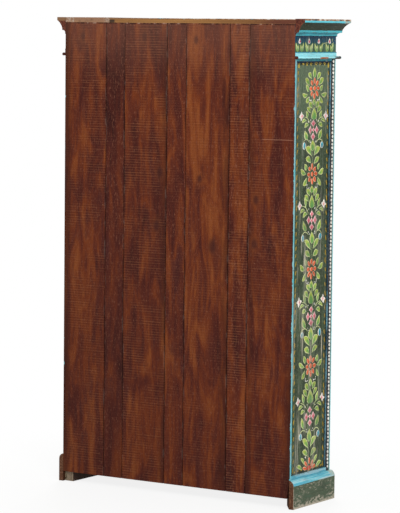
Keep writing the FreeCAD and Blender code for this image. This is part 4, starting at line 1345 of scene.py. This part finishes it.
@dataclass
class Mouldings:
    """Cornice, necking and plinth, on the front and both sides."""

    arris: float = 1.0       # mm
    # the dull teal band in the cove, from 1724 mm, is partly painted shade under the turquoise step above it
    cornice: Bands = (
        (1690.0, Hue.TEAL_NAVY), (1719.5, Hue.TURQUOISE), (1724.0, Hue.COVE_TEAL), (1731.0, Hue.TURQUOISE),
        (1738.5, Hue.HOLLOW_GREEN), (1766.5, Hue.BRIGHT_TURQUOISE))
    # dark teal under the necking's nose is painted shade; the pale turquoise above it is partly a painted
    # highlight on the nose
    necking: Bands = ((1600.0, Hue.DARK_TEAL), (1638.0, Hue.PALE_TURQUOISE), (1657.0, Hue.COVE_TEAL))
    plinth: Bands = ((0.0, Hue.PLINTH_GREEN), (86.0, Hue.OVOLO_BLUE))
    cornice_ends: Tones = ("#3A1A14", "#5E2E22", "#7A4C38")
    necking_ends: Tones = ("#2A1010", "#44201A", "#6A4030")
    plinth_ends: Tones = ("#422719", "#5C3B28", "#7A5640")

    def dress(self) -> None:
        """Paint the three runs, each length with its own wear."""
        for number, part in enumerate(("left", "right", "front")):
            returned = part != "front"
            finishes = {
                "cornice": BrushedPaint(
                    self.cornice, 31 + number, wear=0.45, chips=0.10, scuffs=0.12, crest=1773.5,
                    ends=self.cornice_ends if returned else None, pale_end=1762.0 if part == "right" else 0.0,
                    lost_front=(-118.0, (1765.0, FAR), Hue.GREY_PAINT) if returned else None),
                "necking": BrushedPaint(
                    self.necking, 41 + number, wear=0.3, chips=0.15,
                    ends=self.necking_ends if returned else None,
                    lost_front=(-92.0, (0.0, 1646.0), Hue.OLD_WOOD) if returned else None,
                    rubbed=((-52.0, 14.0), (1635.0, 1643.0)) if returned else None),
                "plinth": BrushedPaint(
                    self.plinth, 51 + number, wear=0.7, chips=0.12, scuffs=0.15, under=Hue.GROUND,
                    streaks=(84.0, 0.65), worn_foot=40.0, worn_rear=163.0,
                    ends=self.plinth_ends if returned else None,
                    lost_front=(-96.0, (90.0, FAR), Hue.GREY_PAINT) if returned else None)}
            for run, finish in finishes.items():
                dress(f"{part}_{run}", finish.material(f"{part}_{run}_brushed_oil_paint"), self.arris)


@dataclass
class FaceFrame:
    """Front posts and rails."""

    arris: float = 1.2       # mm
    stripe: float = 4.5      # mm of turquoise round the front arris
    bead_front: float = 11.0  # mm from the front to the bead
    tulip_pitch: float = 72.0
    vine: Point = (140.0, 1600.0)        # mm, heights of a vine's ends
    cap: Bands = ((1634.0, Hue.TEAL_GREEN), (1686.0, Hue.TEAL_NAVY))

    def dress(self) -> None:
        """Paint the posts and rails, the row of drops on the front frieze and a vine on each post."""
        canvas = front_canvas(0, span("front_frieze_rail")[0].y)
        vines = Brush(canvas, 75, 0.7)
        for number, side in enumerate(("left", "right")):
            first, last = span(f"{side}_front_post")
            bands = ((first.y - 50, Hue.TURQUOISE), (first.y + 0.5, Hue.PALE_TURQUOISE),
                     (first.y + self.stripe, Hue.GREY_GREEN), (first.y + self.bead_front, Hue.NAVY))
            finish = BrushedPaint(bands, 61 + number, Axis.Y, wear=0.5, capped=self.cap, rear=Hue.WALL_BLUE)
            dress(f"{side}_front_post", finish.material(f"{side}_post_brushed_oil_paint"), self.arris)
            paint_vine(vines, (first.x + last.x) / 2, self.vine)
        vines.piece("front_post_vines", "carcass", "turquoise_paint", 76)
        frieze = FieldPaint((), (-FAR, 0.0), (FAR, FAR), Axis.X, -1, 71, FRIEZE_GRADINGS, 0.4)
        dress("front_frieze_rail", frieze.material("front_frieze_brushed_oil_paint"))
        lower = BrushedPaint(((0.0, Hue.TURQUOISE),), 66, wear=0.6)
        dress("front_bottom_rail", lower.material("bottom_rail_brushed_oil_paint"), self.arris)
        tulips = Brush(canvas, 72, 0.7)
        paint_tulips(tulips, [self.tulip_pitch * step for step in range(-6, 7)])
        tulips.piece("front_frieze_flowers", "carcass", "green_paint", 73)


@dataclass
class Door:
    """One door: a turquoise frame with vines round two green panels with flowers."""

    side: str
    seed: int
    arris: float = 1.2       # mm
    hidden: float = 9.0      # mm of a panel's edge inside the frame's groove
    mould: float = 9.0       # mm of quarter round between the frame and the panel
    margin: float = 14.0     # mm from the opening to the foot of the raised field's bevel
    bevel: float = 30.0      # mm from the opening to the field
    field_set: float = 4.0   # mm from the frame's front back to the raised field
    iron_room: float = 34.0  # mm kept clear above and below the ironwork
    vine_end: float = 16.0   # mm from a stile's ends to its vine's
    border_set: float = 12.0         # mm from the field's edge to its border
    border_pitch: float = 32.0       # mm
    border_columns: int = 8
    flower_ends: Point = (108.0, 62.0)   # mm from the field's top and foot to the first and last flower
    wood: tuple[str, ...] = ("hinge_stile", "meeting_stile", "top_rail", "mid_rail", "bottom_rail")

    def dress(self) -> None:
        """Paint the frame and the panels."""
        for number, part in enumerate(self.wood):
            finish = BrushedPaint(((0.0, Hue.TURQUOISE),), self.seed + number, wear=0.6)
            dress(f"{self.side}_{part}", finish.material(f"{self.side}_{part}_brushed_oil_paint"), self.arris)
        self._vines()
        for number, (panel, flowers) in enumerate((("upper_panel", 3), ("lower_panel", 2))):
            self._panel(f"{self.side}_{panel}", flowers, self.seed + 10 * (number + 1))

    def _front(self) -> float:
        """The y of the frame's front, in mm."""
        return span(f"{self.side}_meeting_stile")[0].y

    def _vines(self) -> None:
        """A vine up each stile, broken where the ironwork is."""
        iron = [span(f"{self.side}_ring_rosette"), span(f"{self.side}_pull_ring"), span("hasp_staple")]
        gaps = [(low.z - self.iron_room, high.z + self.iron_room) for low, high in iron]
        brush = Brush(front_canvas(0, self._front()), self.seed + 30, 0.7)
        for stile, kept in (("meeting_stile", gaps), ("hinge_stile", ())):
            low, high = span(f"{self.side}_{stile}")
            paint_vine(brush, (low.x + high.x) / 2, (low.z + self.vine_end, high.z - self.vine_end), kept)
        brush.piece(f"{self.side}_door_vines", f"{self.side}_door", "turquoise_paint", self.seed + 31)

    def _panel(self, node: str, flowers: int, seed: int) -> None:
        """Paint one raised panel with its column of flowers and its border.

        Args:
            node: Name of the panel's node.
            flowers: How many orange flowers stand in the column.
            seed: Number for the panel's own pattern.
        """
        low, high = span(node)
        left, right = low.x + self.hidden, high.x - self.hidden
        bottom, top = low.z + self.hidden, high.z - self.hidden
        rings = ((self.mould - 1.0, Hue.PALE_TURQUOISE), (self.margin, Hue.NAVY),
                 (self.bevel - 1.0, Hue.DULL_TEAL), (self.bevel + 4.0, Hue.NAVY))
        finish = FieldPaint(rings, (left, bottom), (right, top), Axis.X, -1, seed)
        dress(node, finish.material(f"{node}_brushed_oil_paint"))
        brush = Brush(front_canvas((left + right) / 2, self._front() + self.field_set), seed)
        half_wide = (right - left) / 2 - self.bevel
        floor, ceiling = bottom + self.bevel, top - self.bevel
        first, last = ceiling - self.flower_ends[0], floor + self.flower_ends[1]
        step = (first - last) / (flowers - 1)
        FlowerColumn([(0, first - step * number) for number in range(flowers)]).paint(brush)
        self._border(brush, half_wide - self.border_set, floor + self.border_set, ceiling - self.border_set)
        brush.piece(f"{node}_flowers", f"{self.side}_door", "green_paint", seed)

    def _border(self, brush: Brush, half: float, floor: float, ceiling: float) -> None:
        """A border of ochre drops round the field.

        Args:
            brush: Brush on the panel.
            half: Half the border's width.
            floor: Height of its lower row.
            ceiling: Height of its upper row.
        """
        rows = round((ceiling - floor) / self.border_pitch)
        for row in range(rows + 1):
            up = floor + (ceiling - floor) * row / rows
            for across, lean in ((-half, 2), (half, -2)):
                ends = ((across - lean, up - 9), (across + lean, up + 9))
                brush.lay(Stroke(Outline.OVAL, *ends, 9, Hue.OCHRE))
        for column in range(1, self.border_columns):
            across = -half + 2 * half * column / self.border_columns
            brush.lay(Stroke(Outline.LINE, (across - 10, ceiling - 3), (across + 10, ceiling - 3), 5,
                             Hue.PALE_OCHRE, bow=0.28))
            brush.lay(Stroke(Outline.DROP, (across - 8, floor), (across + 8, floor), 7, Hue.OCHRE))


@dataclass
class Interior:
    """Boards that carry the load: top, bottom, shelves and cleats."""

    arris: float = 0.8       # mm
    top_arris: float = 1.0   # mm

    def dress(self) -> None:
        """Leave them as planed wood."""
        top = PlanedPine(81, Axis.X, ("#6A4526", "#94683A", "#AE8350"), (-300.0, -440.0), (303.0, 305.0))
        dress("top_board", top.material("top_board_planed_pine"), self.top_arris)
        for number, node in enumerate(("bottom_board", "shelf_1", "shelf_2", "shelf_3")):
            dress(node, PlanedPine(84 + 3 * number, Axis.X).material(f"{node}_planed_pine"), self.arris)
        dress("shelf_cleats", PlanedPine(97, Axis.Y).material("cleat_planed_pine"), self.arris)


@dataclass
class Ironwork:
    """Hinges, ring pulls and hasp."""

    nodes: tuple[str, ...] = (
        "hinge_frame_leaves", "hinge_pins", "left_door_leaves", "right_door_leaves", "left_ring_rosette",
        "right_ring_rosette", "left_pull_ring", "right_pull_ring", "hasp_staple", "hasp_leaf", "hasp_pin",
        "hasp_strap")

    def dress(self) -> None:
        """Blacken the iron."""
        iron = ForgedIron(101).material("forged_black_iron")
        for node in self.nodes:
            dress(node, iron)


# Studio


@dataclass
class Studio:
    """White floor, soft light and the camera that the photograph was taken with."""

    place: Triple = (-5.2215, 8.0833, 1.7311)        # m
    azimuth: float = 212.8468        # degrees
    elevation: float = 5.0242
    roll: float = 0.6001
    focal_px: float = 2560.23
    sensor: float = 36.0             # mm, along the photograph's height
    floor_half: float = 30.0         # m
    shadow_share: float = 0.15       # how much of the floor's own shading the camera sees
    white_from: float = 1.6          # m from the cupboard's middle, beyond which the floor shows plain white
    sky_light: float = 0.62
    lamps: tuple[tuple[str, Triple], ...] = (          # names, and places in m
        ("rear_lamp", (-4.2, 5.0, 4.6)), ("front_lamp", (3.4, -5.6, 4.2)))
    lamp_power: float = 270.0        # W
    lamp_size: float = 2.6           # m
    lit: Triple = (0.0, 0.0, 0.9)    # m, what the lamps shine at
    farthest: float = 100.0          # m that the camera sees

    def build(self) -> None:
        """Set up floor, light and camera."""
        self._floor()
        self._sky()
        for name, place in self.lamps:
            self._lamp(name, place)
        self._camera()
        bpy.context.scene.view_settings.view_transform = "Standard"

    def _seen(self, tree: bpy.types.NodeTree) -> Socket:
        """1 for rays that show the background: straight from the camera, mirrored or through glass."""
        path = add(tree, "LightPath").node.outputs
        seen = add(tree, "Math", {0: path["Is Camera Ray"], 1: path["Is Glossy Ray"]}, operation="MAXIMUM")
        return add(tree, "Math", {0: seen, 1: path["Is Transmission Ray"]}, operation="MAXIMUM")

    def _floor(self) -> None:
        """A wide pale floor that keeps the cupboard's shadow."""
        half = self.floor_half
        mesh = bpy.data.meshes.new("studio_floor")
        corners = [(-half, -half, 0), (half, -half, 0), (half, half, 0), (-half, half, 0)]
        mesh.from_pydata(corners, [], [(0, 1, 2, 3)])
        floor = bpy.data.objects.new("studio_floor", mesh)
        bpy.context.scene.collection.objects.link(floor)
        material = bpy.data.materials.new("white_paper_floor")
        material.use_nodes = True
        tree = material.node_tree
        tree.nodes.clear()
        paper = add(tree, "BsdfDiffuse", {"Color": linear("#F4F4F2")})
        white = add(tree, "Emission", {"Color": (1, 1, 1, 1), "Strength": 1.0})
        place = add(tree, "NewGeometry").node.outputs["Position"]
        away = add(tree, "VectorMath", {0: place}, operation="LENGTH")
        plain = add(tree, "MapRange", {0: away, 1: self.white_from / 2, 2: self.white_from,
                                       3: 1 - self.shadow_share, 4: 1.0})
        share = add(tree, "Math", {0: self._seen(tree), 1: plain}, operation="MULTIPLY")
        add(tree, "OutputMaterial", {"Surface": add(tree, "MixShader", {0: share, 1: paper, 2: white})})
        mesh.materials.append(material)

    def _sky(self) -> None:
        """Even light from all round, and a white background."""
        world = bpy.data.worlds.new("studio_light")
        bpy.context.scene.world = world
        world.use_nodes = True
        tree = world.node_tree
        tree.nodes.clear()
        light = add(tree, "Background", {"Color": (1, 1, 1, 1), "Strength": self.sky_light})
        white = add(tree, "Background", {"Color": (1, 1, 1, 1), "Strength": 1.0})
        mixed = add(tree, "MixShader", {0: self._seen(tree), 1: light, 2: white})
        add(tree, "OutputWorld", {"Surface": mixed})

    def _lamp(self, name: str, place: Triple) -> None:
        """Hang one broad lamp that shines at the cupboard's middle.

        Args:
            name: Name of the lamp.
            place: Where it hangs, in metres.
        """
        data = bpy.data.lights.new(name, "AREA")
        data.energy = self.lamp_power
        data.size = self.lamp_size
        lamp = bpy.data.objects.new(name, data)
        lamp.location = place
        lamp.rotation_euler = (Vector(self.lit) - Vector(place)).to_track_quat("-Z", "Y").to_euler()
        bpy.context.scene.collection.objects.link(lamp)

    def _camera(self) -> None:
        """Stand the camera where the photograph was taken."""
        turn, tilt, roll = (math.radians(angle) for angle in (self.azimuth, self.elevation, self.roll))
        back = Vector((math.sin(turn) * math.cos(tilt), -math.cos(turn) * math.cos(tilt), math.sin(tilt)))
        level = Vector((math.cos(turn), math.sin(turn), 0))
        upright = back.cross(level)
        right = level * math.cos(roll) + upright * math.sin(roll)
        up = upright * math.cos(roll) - level * math.sin(roll)
        data = bpy.data.cameras.new("photograph_camera")
        data.sensor_width = self.sensor
        data.lens = self.focal_px * self.sensor / PHOTO_HIGH_PX
        data.clip_end = self.farthest
        camera = bpy.data.objects.new("photograph_camera", data)
        axes = Matrix((right, up, back)).transposed().to_4x4()
        camera.matrix_world = Matrix.Translation(self.place) @ axes
        bpy.context.scene.collection.objects.link(camera)
        bpy.context.scene.camera = camera


def main() -> None:
    """Build the studio and dress the cupboard, part by part."""
    logging.basicConfig(level=logging.INFO, format="%(message)s")
    Studio().build()
    Back().dress()
    PaintedSide("left", -1, 110, LEFT_WIPES).dress()
    PaintedSide("right", 1, 210).dress()
    Mouldings().dress()
    FaceFrame().dress()
    for side, seed in (("left", 310), ("right", 410)):
        Door(side, seed).dress()
    Interior().dress()
    Ironwork().dress()


if __name__ == "__main__":
    main()
